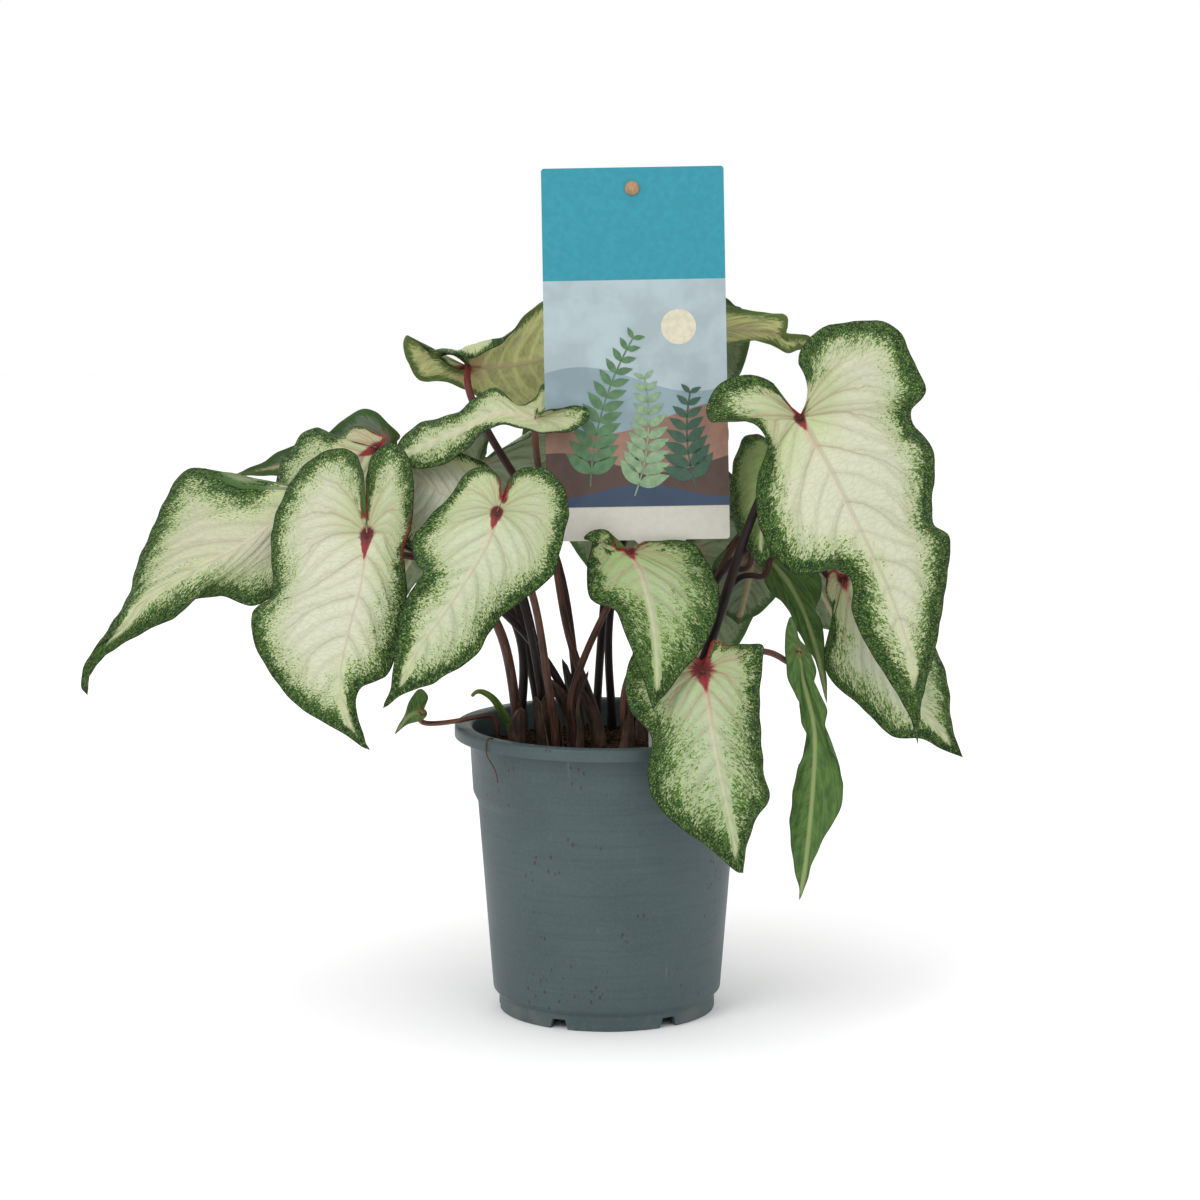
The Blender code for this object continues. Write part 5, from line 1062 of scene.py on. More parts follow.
def circle(radius, sides):
    return [(radius * math.cos(2 * math.pi * k / sides), radius * math.sin(2 * math.pi * k / sides))
            for k in range(sides)]


def lathe_parts(profile, sides):
    """Points and faces turned from (radius, height) places that start and end on the axis.

    A height can be a function of the place (x, y), measured from the axis."""
    points, rings, faces = [], [], []
    for radius, height in profile:
        spots = [(0.0, 0.0)] if radius < 1e-6 else circle(radius, sides)
        rings.append(list(range(len(points), len(points) + len(spots))))
        points += [(AXIS[0] + x, AXIS[1] + y, height(x, y) if callable(height) else height) for x, y in spots]
    for inner, outer in zip(rings, rings[1:]):
        for step in range(sides):
            after = (step + 1) % sides
            if len(inner) == 1:
                faces.append((inner[0], outer[step], outer[after]))
            elif len(outer) == 1:
                faces.append((inner[step], outer[0], inner[after]))
            else:
                faces.append((inner[step], outer[step], outer[after], inner[after]))
    return points, faces


def rounded(profile, radius, steps=3):
    """The profile with every corner between two long sides rounded."""
    places = [np.array(place) for place in profile]
    out = [places[0]]
    for before, corner, after in zip(places, places[1:], places[2:]):
        back, ahead = before - corner, after - corner
        reach = min(radius, 0.45 * np.linalg.norm(back), 0.45 * np.linalg.norm(ahead))
        start = corner + back / np.linalg.norm(back) * reach
        end = corner + ahead / np.linalg.norm(ahead) * reach
        for share in np.linspace(0.0, 1.0, steps):
            out.append(start * (1 - share) ** 2 + 2 * corner * share * (1 - share) + end * share ** 2)
    out.append(places[-1])
    return out


def prism_faces(sides):
    """The ends and sides of a prism whose two rings of points follow each other."""
    faces = [tuple(reversed(range(sides))), tuple(range(sides, 2 * sides))]
    return faces + [(k, (k + 1) % sides, sides + (k + 1) % sides, sides + k) for k in range(sides)]


# Pot, with the part's own profile, as (radius, height)
POT_SIDES = 180
POT_HEIGHT = 0.114
LIP_RADIUS = 0.060
POT_WALL = 0.0012
FOOT_RADIUS = 0.04275
FOOT_WALL = 0.002
POT_FLOOR = 0.0045
FLOOR_TOP = 0.006
POT_PROFILE = (
    (0.0, FLOOR_TOP), (0.04265, FLOOR_TOP), (0.04385, 0.0094), (0.0497, 0.0835), (0.0516, 0.0887),
    (0.05305, 0.1132), (0.0544, POT_HEIGHT), (0.0594, POT_HEIGHT), (LIP_RADIUS, 0.1132), (LIP_RADIUS, 0.1093),
    (LIP_RADIUS - POT_WALL, 0.1093), (LIP_RADIUS - POT_WALL, 0.1124), (0.05425, 0.1124), (0.0528, 0.0875),
    (0.0509, 0.0835), (0.04505, 0.0082), (FOOT_RADIUS, 0.0062), (FOOT_RADIUS, 0.0),
    (FOOT_RADIUS - FOOT_WALL, 0.0), (FOOT_RADIUS - FOOT_WALL, POT_FLOOR), (0.0, POT_FLOOR))
POT_ROUNDING = 0.0007
NOTCHES = 6
NOTCH_LOW = 0.009
NOTCH_TOP = 0.0055
NOTCH_HEIGHT = 0.004
NOTCH_START = math.radians(-116)
DRAIN_RADIUS = 0.004
DRAIN_CIRCLE = 0.028
CUT_OVER = 0.002
DRAIN_SIDES = 24
POT_SHARP = math.radians(38)


def make_pot(finish):
    pot = mesh_object("pot_fine", *lathe_parts(rounded(POT_PROFILE, POT_ROUNDING), POT_SIDES), [finish])
    group = bpy.data.collections.new("pot_cutters")
    for number in range(NOTCHES):
        angle = NOTCH_START + 2 * math.pi * number / NOTCHES
        section = ((-NOTCH_LOW / 2, -CUT_OVER), (NOTCH_LOW / 2, -CUT_OVER), (NOTCH_TOP / 2, NOTCH_HEIGHT),
                   (-NOTCH_TOP / 2, NOTCH_HEIGHT))
        reach = (FOOT_RADIUS - FOOT_WALL - CUT_OVER, FOOT_RADIUS + CUT_OVER)
        block = [(x, y, z) for x in reach for y, z in section]
        add_cutter(group, turned_points(block, angle), prism_faces(len(section)))
        angle += math.pi / NOTCHES
        centre = (DRAIN_CIRCLE * math.cos(angle), DRAIN_CIRCLE * math.sin(angle))
        points = [(centre[0] + x, centre[1] + y, z) for z in (POT_FLOOR - CUT_OVER, FLOOR_TOP + CUT_OVER)
                  for x, y in circle(DRAIN_RADIUS, DRAIN_SIDES)]
        add_cutter(group, turned_points(points, 0.0), prism_faces(DRAIN_SIDES))
    boolean = pot.modifiers.new("openings", "BOOLEAN")
    boolean.operation = "DIFFERENCE"
    boolean.operand_type = "COLLECTION"
    boolean.collection = group
    boolean.solver = "EXACT"
    bake_modifiers(pot, group)
    pot.data.shade_smooth()
    pot.data.set_sharp_from_angle(angle=POT_SHARP)
    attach(pot, "root")
    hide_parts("pot")


def turned_points(points, angle):
    cosine, sine = math.cos(angle), math.sin(angle)
    return [(AXIS[0] + x * cosine - y * sine, AXIS[1] + x * sine + y * cosine, z) for x, y, z in points]


def add_cutter(group, points, faces):
    mesh = bpy.data.meshes.new("cutter")
    mesh.from_pydata(points, [], faces)
    group.objects.link(bpy.data.objects.new("cutter", mesh))


def bake_modifiers(thing, group):
    """Put the modifiers' result into the mesh and drop the cutters."""
    bpy.context.scene.collection.children.link(group)
    bpy.context.view_layer.update()
    result = bpy.data.meshes.new_from_object(thing.evaluated_get(bpy.context.evaluated_depsgraph_get()))
    thing.modifiers.clear()
    thing.data = result
    for cutter in list(group.objects):
        bpy.data.objects.remove(cutter)
    bpy.data.collections.remove(group)


# Soil
SOIL_RADIUS = 0.0519
SOIL_SIDES = 150
SOIL_SURFACE_RINGS = 46
SOIL_LOWER = ((0.0513, 0.0888), (0.0494, 0.0835), (0.0432, 0.0097), (0.0421, 0.0063), (0.0, 0.0063))
SOIL_CROWN = 0.0025
SOIL_SAG = 0.001
# Lumps: steps to the metre, and how high the large and the small ones are
LUMP_PITCH = 90.0
LUMP_HEIGHT = (0.0014, 0.0005)
CRUMBS = 620
CRUMB_SEED = 11
CRUMB_SIZES = (0.5, 0.7, 0.9, 1.3, 1.9)
CRUMB_MARGIN = 0.0022
FIBRES = 260
FIBRE_SEED = 23
FIBRE_STEPS = 8
FIBRE_SIDES = 4
FIBRE_MARGINS = (0.004, 0.0012)


def soil_height(x, y):
    """The soil's surface at a place measured from the pot's axis."""
    share = math.hypot(x, y) / SOIL_RADIUS
    spot = Vector((x * LUMP_PITCH, y * LUMP_PITCH, 3.1))
    rough = noise.fractal(spot, 1.0, 2.0, 5) * LUMP_HEIGHT[0] + noise.noise(spot * 5.0) * LUMP_HEIGHT[1]
    return SOIL_TOP + SOIL_CROWN * (1.0 - share ** 2) - SOIL_SAG * share + rough


def make_soil(finish, crumb_finish, fibre_finish):
    radii = [SOIL_RADIUS * ring / SOIL_SURFACE_RINGS for ring in range(SOIL_SURFACE_RINGS + 1)]
    surface = [(radius, soil_height) for radius in radii]
    soil = mesh_object("soil_fine", *lathe_parts((*surface, *SOIL_LOWER), SOIL_SIDES), [finish])
    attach(soil, "root")
    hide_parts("soil")
    make_crumbs(crumb_finish)
    make_fibres(fibre_finish)


def make_crumbs(finish):
    """Small lumps of peat and bark, half sunk in the surface."""
    draw = random.Random(CRUMB_SEED)
    golden = (1 + math.sqrt(5)) / 2
    corners = [np.array(c) / math.hypot(1, golden) for c in (
        (-1, golden, 0), (1, golden, 0), (-1, -golden, 0), (1, -golden, 0), (0, -1, golden), (0, 1, golden),
        (0, -1, -golden), (0, 1, -golden), (golden, 0, -1), (golden, 0, 1),
        (-golden, 0, -1), (-golden, 0, 1))]
    triangles = ((0, 11, 5), (0, 5, 1), (0, 1, 7), (0, 7, 10), (0, 10, 11), (1, 5, 9), (5, 11, 4),
                 (11, 10, 2), (10, 7, 6), (7, 1, 8), (3, 9, 4), (3, 4, 2), (3, 2, 6), (3, 6, 8), (3, 8, 9),
                 (4, 9, 5), (2, 4, 11), (6, 2, 10), (8, 6, 7), (9, 8, 1))
    points, faces = [], []
    for _ in range(CRUMBS):
        radius = (SOIL_RADIUS - CRUMB_MARGIN) * math.sqrt(draw.random())
        angle = draw.uniform(0, 2 * math.pi)
        x, y = radius * math.cos(angle), radius * math.sin(angle)
        size = draw.choice(CRUMB_SIZES) * MM
        stretch = np.array((draw.uniform(0.7, 1.6), draw.uniform(0.6, 1.2), draw.uniform(0.4, 0.9)))
        turn = draw.uniform(0, math.pi)
        centre = np.array((AXIS[0] + x, AXIS[1] + y, soil_height(x, y) + size * 0.15))
        start = len(points)
        for corner in corners:
            spot = corner * stretch * size * draw.uniform(0.75, 1.2)
            points.append(centre + (spot[0] * math.cos(turn) - spot[1] * math.sin(turn),
                                    spot[0] * math.sin(turn) + spot[1] * math.cos(turn), spot[2]))
        faces += [tuple(start + k for k in triangle) for triangle in triangles]
    crumbs = mesh_object("soil_crumbs", points, faces, [finish], smooth=False)
    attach(crumbs, "root")


def make_fibres(finish):
    """Fine curled root and coir fibres that lie on the soil."""
    draw = random.Random(FIBRE_SEED)
    points, faces = [], []
    for _ in range(FIBRES):
        radius = (SOIL_RADIUS - FIBRE_MARGINS[0]) * math.sqrt(draw.random())
        angle = draw.uniform(0, 2 * math.pi)
        x, y = radius * math.cos(angle), radius * math.sin(angle)
        heading = draw.uniform(0, 2 * math.pi)
        curl = draw.uniform(-0.7, 0.7)
        stride = draw.uniform(0.7, 2.0) * MM
        lift = draw.uniform(0.1, 1.3) * MM
        path = []
        for step in range(FIBRE_STEPS):
            if math.hypot(x, y) > SOIL_RADIUS - FIBRE_MARGINS[1]:
                break
            height = soil_height(x, y) + lift * math.sin(math.pi * step / (FIBRE_STEPS - 1)) + 0.1 * MM
            path.append((AXIS[0] + x, AXIS[1] + y, height))
            heading += curl * draw.uniform(0.4, 1.2)
            x += stride * math.cos(heading)
            y += stride * math.sin(heading)
        if len(path) < 3:
            continue
        thick = draw.uniform(0.08, 0.22) * MM
        parts = tube_parts(np.array(path), np.full(len(path), thick), FIBRE_SIDES, start=len(points))
        points += list(parts[0])
        faces += parts[1]
    fibres = mesh_object("soil_fibres", points, faces, [finish])
    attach(fibres, "root")


# Label, in its own measure: x across from the card's lower left corner and z up, in metres
LABEL_WIDTH = 0.0704
LABEL_HEIGHT = 0.1437
LABEL_THICK = 0.0008
LABEL_FOOT = np.array((-0.0230, -0.020, 0.1884))
LABEL_LEAN = math.radians(1.0)
LABEL_TILT = math.radians(8.0)
LABEL_CORNER = 0.0012
TAIL_WIDTH = 0.012
TAIL_ACROSS = 0.0437
TAIL_LENGTH = 0.106
TAIL_POINT = 0.006
TAIL_SHOULDER = 0.004
PRINT_LIFT = 0.00004
STRIP_TOP = 0.0130
PICTURE_TOP = 0.1003
ARC_STEPS = 5
# Hills, each nearer than the last: name, top, the wave's height, waves across the card, phase and tone
HILLS = (("far", 0.062, 0.005, 0.8, 0.6, "mist"), ("clay", 0.047, 0.006, 0.7, 3.4, "clay"),
         ("dark", 0.030, 0.004, 0.9, 1.2, "umber"), ("navy", 0.019, 0.0025, 1.1, 4.2, "navy"))
HILL_STEPS = 28
DISC_CENTRE = (0.052, 0.082)
DISC_RADIUS = 0.0068
DISC_SIDES = 36
# Sprigs: foot across and up, heading in radians, length, pairs of leaves and tone
SPRIGS = ((0.017, 0.021, 1.50, 0.060, 11, "leaf_green"), (0.034, 0.017, 1.22, 0.046, 9, "leaf_pale"),
          (0.058, 0.019, 1.85, 0.038, 7, "leaf_deep"))
SPRIG_LAYER = 6
STEM_HALF = 0.0003
OVAL_LENGTH = 0.0125
OVAL_TURN = 0.95
OVAL_WIDTH = 0.42
OVAL_STEPS = 9
# The print's tones: name, colour, spread and scale of the grain
PRINTS = {
    "teal": ("print_teal", (38, 158, 178), 0.05, 400.0), "sky": ("print_sky", (188, 206, 212), 0.08, 60.0),
    "mist": ("print_mist", (150, 176, 184), 0.08, 60.0), "clay": ("print_clay", (168, 128, 108), 0.12, 90.0),
    "umber": ("print_umber", (88, 64, 54), 0.12, 90.0), "navy": ("print_navy", (52, 74, 104), 0.08, 90.0),
    "cream": ("print_cream", (238, 230, 204), 0.06, 400.0),
    "leaf_green": ("print_green", (92, 138, 92), 0.14, 300.0),
    "leaf_pale": ("print_pale_green", (150, 184, 140), 0.14, 300.0),
    "leaf_deep": ("print_deep_green", (58, 100, 76), 0.14, 300.0)}


def label_place(x, y, z):
    """A place on the label, with y behind its middle, in the frame."""
    lean_z = -x * math.sin(-LABEL_LEAN) + z * math.cos(LABEL_LEAN)
    lean_x = x * math.cos(LABEL_LEAN) + z * math.sin(-LABEL_LEAN)
    tilt_y = y * math.cos(LABEL_TILT) + lean_z * math.sin(LABEL_TILT)
    tilt_z = -y * math.sin(LABEL_TILT) + lean_z * math.cos(LABEL_TILT)
    return AXIS + LABEL_FOOT + np.array((lean_x, tilt_y, tilt_z))


def flat_piece(name, outline, front, back, finish):
    """A flat piece of the label between two depths, from its outline seen from in front."""
    count = len(outline)
    points = [label_place(x, y, z) for y in (front, back) for x, z in outline]
    faces = [tuple(range(count)), tuple(reversed(range(count, 2 * count)))]
    faces += [((k + 1) % count, k, count + k, count + (k + 1) % count) for k in range(count)]
    made = mesh_object(name, points, faces, [finish], smooth=False)
    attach(made, "root")
    return made


def corner_arc(side, level, start):
    """The card's round corner at its left or right and at its foot or head, from an angle on."""
    x = LABEL_CORNER if side == "left" else LABEL_WIDTH - LABEL_CORNER
    z = LABEL_CORNER if level == "foot" else LABEL_HEIGHT - LABEL_CORNER
    angles = [start + k * math.pi / (2 * ARC_STEPS) for k in range(ARC_STEPS + 1)]
    return [(x + LABEL_CORNER * math.cos(angle), z + LABEL_CORNER * math.sin(angle)) for angle in angles]


def make_label(card, tones):
    left, right = TAIL_ACROSS - TAIL_WIDTH / 2, TAIL_ACROSS + TAIL_WIDTH / 2
    outline = [
        (left, TAIL_POINT - TAIL_LENGTH), (TAIL_ACROSS, -TAIL_LENGTH), (right, TAIL_POINT - TAIL_LENGTH),
        (right, -TAIL_SHOULDER), (right + TAIL_SHOULDER, 0.0), *corner_arc("right", "foot", -math.pi / 2),
        *corner_arc("right", "head", 0.0), *corner_arc("left", "head", math.pi / 2),
        *corner_arc("left", "foot", math.pi), (left - TAIL_SHOULDER, 0.0), (left, -TAIL_SHOULDER)]
    label = flat_piece("label_card_fine", outline, -LABEL_THICK / 2, LABEL_THICK / 2, card)
    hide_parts("plant_label")
    print_label(tones)


def print_piece(name, outline, layer, finish):
    front = -LABEL_THICK / 2 - PRINT_LIFT * layer
    flat_piece(name, outline, front, -LABEL_THICK / 2 + PRINT_LIFT, finish)


def wavy_band(low, high, rise, waves, phase):
    """A zone across the card whose top edge is a soft wave."""
    across = [LABEL_WIDTH * k / HILL_STEPS for k in range(HILL_STEPS, -1, -1)]
    top = [(x, high + rise * math.sin(waves * 2 * math.pi * x / LABEL_WIDTH + phase)) for x in across]
    return [(0.0, low), (LABEL_WIDTH, low)] + top


def leaf_outline(x, z, heading, length):
    """A pointed oval from its foot at (x, z)."""
    width = length * OVAL_WIDTH
    places = []
    for k in range(2 * OVAL_STEPS):
        t = k / OVAL_STEPS if k <= OVAL_STEPS else 2 - k / OVAL_STEPS
        bulge = math.sin(math.pi * t ** 0.8) * width / 2 * (1 if k <= OVAL_STEPS else -1)
        places.append((x + length * t * math.cos(heading) + bulge * math.sin(heading),
                       z + length * t * math.sin(heading) - bulge * math.cos(heading)))
    return places


def print_label(tones):
    """Generic unlettered print: a bare teal head, soft hills with leafy sprigs, and a bare cream strip."""
    head = [(0.0, PICTURE_TOP), (LABEL_WIDTH, PICTURE_TOP), *corner_arc("right", "head", 0.0),
            *corner_arc("left", "head", math.pi / 2)]
    print_piece("label_head", head, 1, tones["teal"])
    sky = [(0.0, STRIP_TOP), (LABEL_WIDTH, STRIP_TOP), (LABEL_WIDTH, PICTURE_TOP), (0.0, PICTURE_TOP)]
    print_piece("label_sky", sky, 1, tones["sky"])
    for layer, (name, *wave, tone) in enumerate(HILLS, 2):
        print_piece("label_hill_" + name, wavy_band(STRIP_TOP, *wave), layer, tones[tone])
    disc = [(DISC_CENTRE[0] + x, DISC_CENTRE[1] + z) for x, z in circle(DISC_RADIUS, DISC_SIDES)]
    print_piece("label_disc", disc, 2, tones["cream"])
    for number, (*sprig, tone) in enumerate(SPRIGS):
        print_sprig(number, *sprig, tones[tone])


def print_sprig(number, x, z, heading, length, pairs, finish):
    """One arching stem with oval leaves on both sides."""
    bend = 0.5 if number % 2 else -0.45
    stride = length / (pairs + 1)
    stem = [(x, z)]
    for k in range(pairs + 1):
        angle = heading + bend * (k / pairs)
        x, z = x + stride * math.cos(angle), z + stride * math.sin(angle)
        stem.append((x, z))
        size = OVAL_LENGTH * (1.0 - 0.62 * k / pairs)
        for sign in (1, -1):
            oval = leaf_outline(x, z, angle + sign * OVAL_TURN, size)
            print_piece(f"label_sprig_{number}_{k}_{sign > 0:d}", oval, SPRIG_LAYER + number, finish)
    right = [(px + STEM_HALF, pz) for px, pz in stem]
    left = [(px - STEM_HALF, pz) for px, pz in reversed(stem)]
    print_piece(f"label_stem_{number}", right + left, SPRIG_LAYER + number, finish)


# Peg: its middle from the card's lower left corner, and its foot and back from the card's middle
PEG_ACROSS = 0.0350
PEG_UP = 0.1356
PEG_RADIUS = 0.0028
PEG_DOME = 0.0012
PEG_FOOT = 0.0006
PEG_BACK = 0.0011
PEG_SIDES = 28
PEG_RINGS = 5
PEG_SHARP = math.radians(50)


def make_peg(finish):
    """A small domed wooden peg through the card's head."""
    points = []
    for ring in range(PEG_RINGS + 1):
        angle = math.pi / 2 * ring / PEG_RINGS
        front = -LABEL_THICK / 2 - PEG_FOOT - PEG_DOME * math.sin(angle)
        spots = circle(PEG_RADIUS * math.cos(angle), PEG_SIDES) if ring < PEG_RINGS else [(0.0, 0.0)]
        points += [label_place(PEG_ACROSS + x, front, PEG_UP + z) for x, z in spots]
    top, base = PEG_RINGS * PEG_SIDES, len(points)
    points += [label_place(PEG_ACROSS + x, PEG_BACK, PEG_UP + z) for x, z in circle(PEG_RADIUS, PEG_SIDES)]
    turns = [(k, (k + 1) % PEG_SIDES) for k in range(PEG_SIDES)]
    faces = []
    for low in range(0, top - PEG_SIDES, PEG_SIDES):
        high = low + PEG_SIDES
        faces += [(low + k, low + after, high + after, high + k) for k, after in turns]
    faces += [(top - PEG_SIDES + k, top - PEG_SIDES + after, top) for k, after in turns]
    faces += [(base + k, base + after, after, k) for k, after in turns]
    faces.append(tuple(range(base + PEG_SIDES - 1, base - 1, -1)))
    peg = mesh_object("label_peg", points, faces, [finish])
    peg.data.set_sharp_from_angle(angle=PEG_SHARP)
    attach(peg, "root")


# Papery sheaths at the stalks' feet: stalk, height in mm, opening's heading in degrees, spread
SHEATHS = (("leaf_centre_left_stalk", 26, -60, 1.5), ("leaf_front_centre_stalk", 34, 200, 1.5),
           ("leaf_front_left_stalk", 20, 120, 1.4), ("leaf_across_stalk", 30, 30, 1.6),
           ("leaf_far_left_stalk", 30, 60, 1.6), ("leaf_front_low_stalk", 24, 150, 1.5),
           ("leaf_upper_left_stalk", 34, -20, 1.6), ("leaf_by_label_stalk", 22, 100, 1.5),
           ("leaf_pale_back_stalk", 24, 60, 1.6), ("leaf_right_low_stalk", 26, 200, 1.5))
SHEATH_THICK = 0.00025
SHEATH_ARC = math.radians(250)
SHEATH_COLUMNS = 14
SHEATH_ROWS = 12
SHEATH_SINK = 0.001
# In mm: how far the sheath stands off its stalk at the foot, how far more at the top, and how its top waves
SHEATH_GAP = 0.25
SHEATH_FLARE = 1.2
SHEATH_WAVE = 0.8


def sheath_faces(start):
    """Both sides and the edge of a sheath whose inner and outer grids follow each other."""
    wide = SHEATH_COLUMNS + 1
    inner, outer = start, start + (SHEATH_ROWS + 1) * wide
    faces = []
    for row in range(SHEATH_ROWS):
        for column in range(SHEATH_COLUMNS):
            k = row * wide + column
            faces.append((outer + k, outer + k + 1, outer + k + wide + 1, outer + k + wide))
            faces.append((inner + k + wide, inner + k + wide + 1, inner + k + 1, inner + k))
    last = SHEATH_ROWS * wide
    edge = [*range(wide), *range(wide + SHEATH_COLUMNS, last + wide, wide),
            *range(last + SHEATH_COLUMNS - 1, last - 1, -1), *range(last - wide, 0, -wide)]
    for first, second in zip(edge, edge[1:] + edge[:1]):
        faces.append((inner + first, inner + second, outer + second, outer + first))
    return faces


def make_sheaths(finish):
    points, faces, grains = [], [], []
    for number, (name, height, heading, spread) in enumerate(SHEATHS):
        path, radius = STALK_PATHS[name]
        opening = math.radians(heading)
        faces += sheath_faces(len(points))
        for layer in (0.0, SHEATH_THICK):
            for row in range(SHEATH_ROWS + 1):
                share = row / SHEATH_ROWS
                level = SOIL_TOP - SHEATH_SINK + height * MM * share
                x, y = (np.interp(level, path[:, 2], path[:, k]) for k in range(2))
                arc = SHEATH_ARC * (1.0 - share) ** 0.55
                wide = (radius * spread + SHEATH_GAP + SHEATH_FLARE * share ** 2) * MM + layer
                for column in range(SHEATH_COLUMNS + 1):
                    angle = opening + math.pi + arc * (column / SHEATH_COLUMNS - 0.5)
                    wave = 1.0 + 0.06 * math.sin(5 * angle + 7 * share + number)
                    rise = SHEATH_WAVE * MM * math.sin(column * 1.7 + number) * share
                    out = wide * wave
                    points.append((x + out * math.cos(angle), y + out * math.sin(angle), level + rise))
                    grains.append((angle * radius, height * share, number * 9.0))
    made = mesh_object("stalk_sheaths", points, faces, [finish])
    store(made, "grain", grains)
    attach(made, "root")


SHOOT_RINGS = 44
SHOOT_RIBBING = 0.10


def make_shoot(finish):
    """The young leaf, still rolled: a green spike that bends over and ends in a point."""
    x, y = np.array(SHOOT_BASE) * MM + AXIS[:2]
    knots = [np.array((x, y, SOIL_TOP + height)) for height in SHOOT_RISE]
    knots += [place_at_depth(*place) for place in SHOOT_PATH]
    path = np.vstack(((x, y, SOIL_TOP - STALK_DEPTH), eased_curve(knots, SHOOT_RINGS)))
    share = np.linspace(0.0, 1.0, len(path))
    radii = SHOOT_RADIUS + (SHOOT_TIP_RADIUS - SHOOT_RADIUS) * share
    radii = radii * (0.85 + 0.35 * np.sin(math.pi * np.clip(share * 1.15, 0, 1)))
    points, faces, rise, grain = tube_parts(path, radii, STALK_SIDES, SHOOT_RIBBING)
    made = mesh_object("shoot_fine", points, faces, [finish])
    store(made, "rise", rise)
    store(made, "grain", grain)
    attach(made, "root")
    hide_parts("shoot")


# A thin root that hangs over the pot's lip, as (turn in degrees, radius, height)
ROOT = ((-142, 0.0500, 0.1040), (-141.5, 0.0530, 0.1110), (-141, 0.0565, 0.1146), (-140.5, 0.0596, 0.1147),
        (-140.2, 0.0606, 0.1120), (-140, 0.0606, 0.1080), (-139.3, 0.0585, 0.1050), (-138.6, 0.0566, 0.1010),
        (-139.2, 0.0556, 0.0970))


ROOT_RINGS = 40
ROOT_RADIUS = 0.00028
ROOT_SIDES = 8


def make_root(finish):
    knots = []
    for turn, radius, height in ROOT:
        angle = math.radians(turn)
        knots.append(AXIS + np.array((radius * math.cos(angle), radius * math.sin(angle), height)))
    path = eased_curve(knots, ROOT_RINGS)
    points, faces = tube_parts(path, np.full(len(path), ROOT_RADIUS), ROOT_SIDES)[:2]
    made = mesh_object("soil_root", points, faces, [finish])
    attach(made, "root")


FLOOR_HALF = 3.0
FLOOR_WHITE = (0.97, 0.97, 0.97, 1.0)
FLOOR_ROUGHNESS = 0.9


def make_floor():
    points = [(x * FLOOR_HALF, y * FLOOR_HALF, 0.0) for x, y in ((-1, -1), (1, -1), (1, 1), (-1, 1))]
    finish = bpy.data.materials.new("floor_white")
    finish.use_nodes = True
    surface = finish.node_tree.nodes["Principled BSDF"]
    surface.inputs["Base Color"].default_value = FLOOR_WHITE
    surface.inputs["Roughness"].default_value = FLOOR_ROUGHNESS
    mesh_object("floor", points, [(0, 1, 2, 3)], [finish], smooth=False)


def make_camera():
    data = bpy.data.cameras.new("camera")
    data.lens = EYE_FOCAL / IMAGE_WIDTH * SENSOR_WIDTH
    data.sensor_width = SENSOR_WIDTH
    camera = bpy.data.objects.new("camera", data)
    camera.location = AXIS + EYE
    camera.rotation_euler = (math.pi / 2 - EYE_PITCH, 0.0, 0.0)
    bpy.context.scene.collection.objects.link(camera)
    bpy.context.scene.camera = camera


# Soft lights: name, place from the pot's axis, power in watts and size in metres
LIGHTS = (("key", (-0.9, -1.3, 1.5), 12.0, 0.9), ("fill", (1.3, -1.1, 0.9), 2.0, 1.4),
          ("top", (0.1, 0.3, 1.9), 4.0, 1.4), ("behind", (-0.2, 1.6, 1.1), 2.0, 1.4))
LIGHT_AIM = (0.0, 0.0, 0.16)
WORLD_COLOUR = (1.0, 1.0, 1.0, 1.0)
WORLD_LIGHT = 1.0


def make_lights():
    for name, place, power, size in LIGHTS:
        data = bpy.data.lights.new(name, "AREA")
        data.energy = power
        data.size = size
        light = bpy.data.objects.new(name, data)
        light.location = AXIS + np.array(place)
        aim = Vector(AXIS + np.array(LIGHT_AIM)) - light.location
        light.rotation_euler = aim.to_track_quat("-Z", "Y").to_euler()
        bpy.context.scene.collection.objects.link(light)
    world = bpy.data.worlds.new("studio")
    world.use_nodes = True
    background = world.node_tree.nodes["Background"]
    background.inputs["Color"].default_value = WORLD_COLOUR
    background.inputs["Strength"].default_value = WORLD_LIGHT
    bpy.context.scene.world = world
    bpy.context.scene.view_settings.view_transform = "Standard"
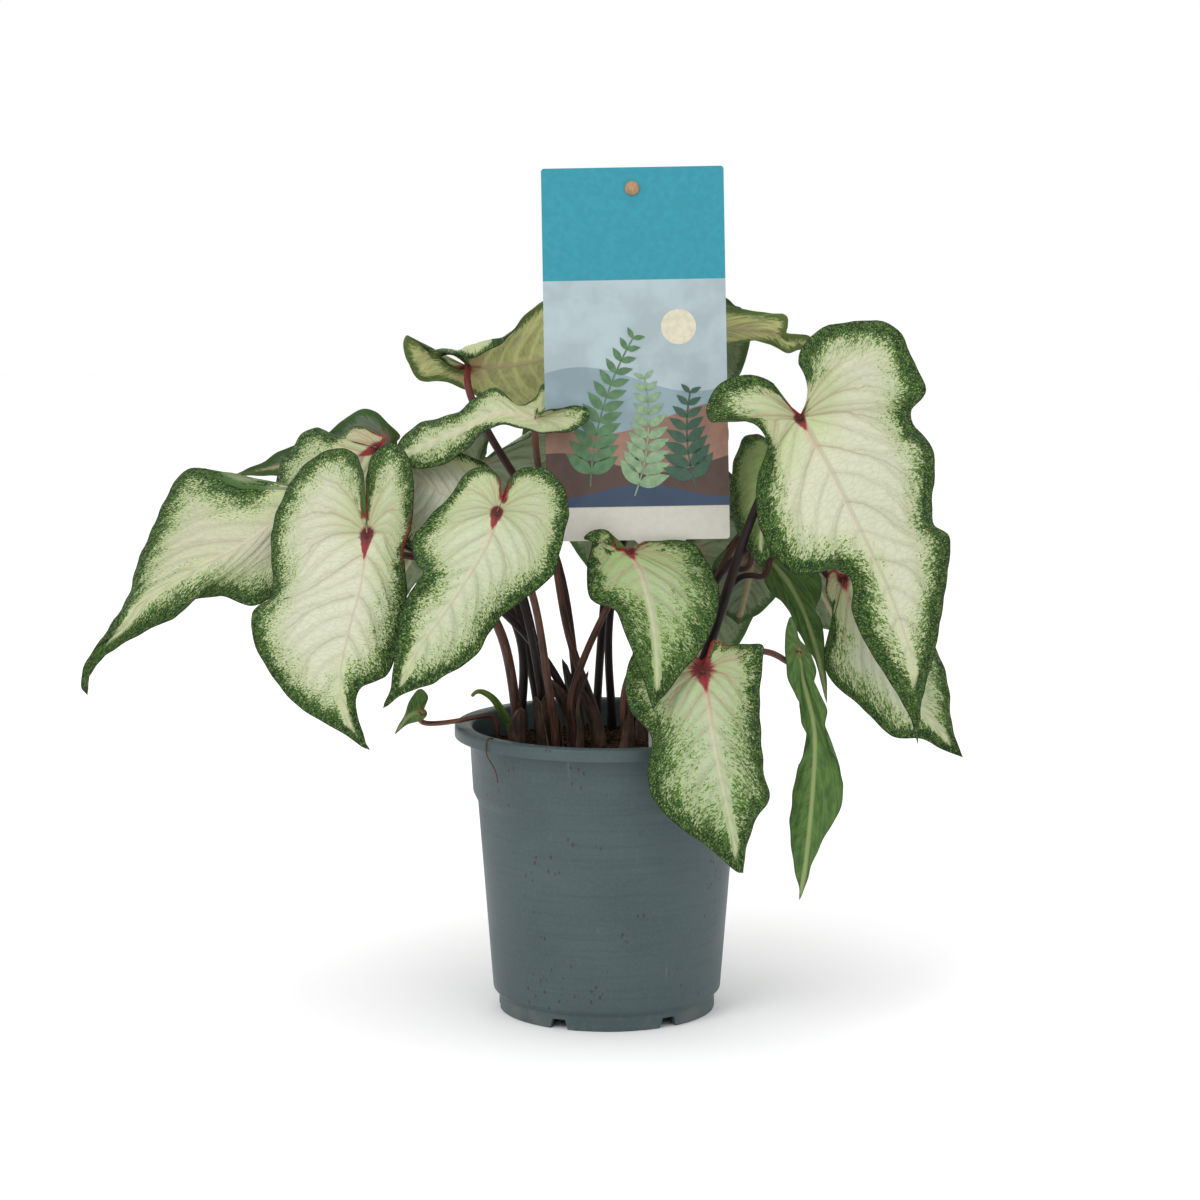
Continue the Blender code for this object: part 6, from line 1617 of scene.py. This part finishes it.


# Stalks' tones at the foot, above it and at the blade, and the undersides' tones
# The stalks' tones are darkened as painted shade of the plant's crowded middle; the first set is painted
# shade down to near black
SHADE_DARK_STALK = ((24, 18, 18), (38, 27, 26), (92, 50, 46))
BROWN_STALK = ((62, 42, 34), (92, 62, 48), (132, 84, 66))
ROSY_STALK = ((46, 34, 30), (66, 42, 38), (150, 62, 62))
SMALL_STALK = ((62, 44, 36), (108, 74, 58), (122, 100, 64))
SHOOT_TONES = ((84, 104, 48), (112, 146, 66), (136, 168, 86))
BROWN_LEAVES = ("leaf_centre_left", "leaf_front_centre", "leaf_front_left", "leaf_across", "leaf_by_label",
                "leaf_twisted", "leaf_front_low")
STALK_TONES = {**dict.fromkeys(BROWN_LEAVES, BROWN_STALK), "leaf_upper_left": ROSY_STALK}
UNDER_YELLOW = (204, 208, 142)
# The grey-green underside tones, this one and those of leaf_grey_left and leaf_grey_right, are painted shade:
# undersides coloured as they look in shade, beside the yellow-green of lit ones
SHADED_UNDER_GREY = (126, 140, 104)
UNDERSIDES = {
    "leaf_upper_left": UNDER_YELLOW, "leaf_behind_label": UNDER_YELLOW, "leaf_by_label": UNDER_YELLOW,
    # leaf_pale_back's near-white underside is painted light: the light through the thin leaf, which lies in
    # shade
    "leaf_grey_left": (112, 126, 104), "leaf_grey_right": (138, 152, 122), "leaf_pale_back": (252, 252, 214),
    "leaf_across": (196, 200, 140)}
PLAIN_GREEN = ("leaf_twisted", "leaf_strap_right")
SMALL_SEED = 40

# Soil, crumbs and fibres: dark, middle and light tone, and the grain's scale
SOILS = (("soil_look", (30, 20, 15), (58, 40, 28), (92, 66, 46), 160.0),
         ("crumb_look", (34, 23, 17), (70, 48, 34), (104, 76, 54), 120.0),
         ("fibre_look", (70, 48, 34), (118, 88, 62), (150, 118, 84), 60.0))
CARD_WHITE = (222, 219, 206)


def make_plant():
    plain = green_material("plain_green")
    for seed, leaf in enumerate(LEAVES):
        stalk = stalk_material(leaf.name + "_stalk_look", *STALK_TONES.get(leaf.name, SHADE_DARK_STALK))
        if leaf.name in PLAIN_GREEN:
            drawn_leaf(leaf, [plain, plain], stalk, seed)
            continue
        under = lower_material(leaf.name, UNDERSIDES.get(leaf.name, SHADED_UNDER_GREY))
        upper = upper_material(leaf.name, LOOKS.get(leaf.name, DEFAULT_LOOK))
        drawn_leaf(leaf, [upper, under], stalk, seed)
    # The far stalks take the near-black tones of painted shade
    far_stalk = stalk_material("far_stalk_look", *SHADE_DARK_STALK)
    for seed, leaf in enumerate(FAR_LEAVES, len(LEAVES)):
        materials = [upper_material(leaf.name, DEFAULT_LOOK), lower_material(leaf.name, SHADED_UNDER_GREY)]
        far_leaf(leaf, materials, far_stalk, seed)
    small_stalk = stalk_material("small_stalk_look", *SMALL_STALK)
    drawn_leaf(SMALL_LEAF, [plain, plain], small_stalk, SMALL_SEED)
    make_shoot(stalk_material("shoot_look", *SHOOT_TONES))


def main():
    make_plant()
    make_pot(pot_material())
    make_soil(*(soil_material(*looks) for looks in SOILS))
    make_label(plain_material("card_white", CARD_WHITE, 0.4, 0.02),
               {tone: plain_material(name, shown, spread=spread, scale=scale)
                for tone, (name, shown, spread, scale) in PRINTS.items()})
    make_peg(wood_material())
    make_sheaths(husk_material())
    make_root(husk_material())
    make_floor()
    make_camera()
    make_lights()


main()
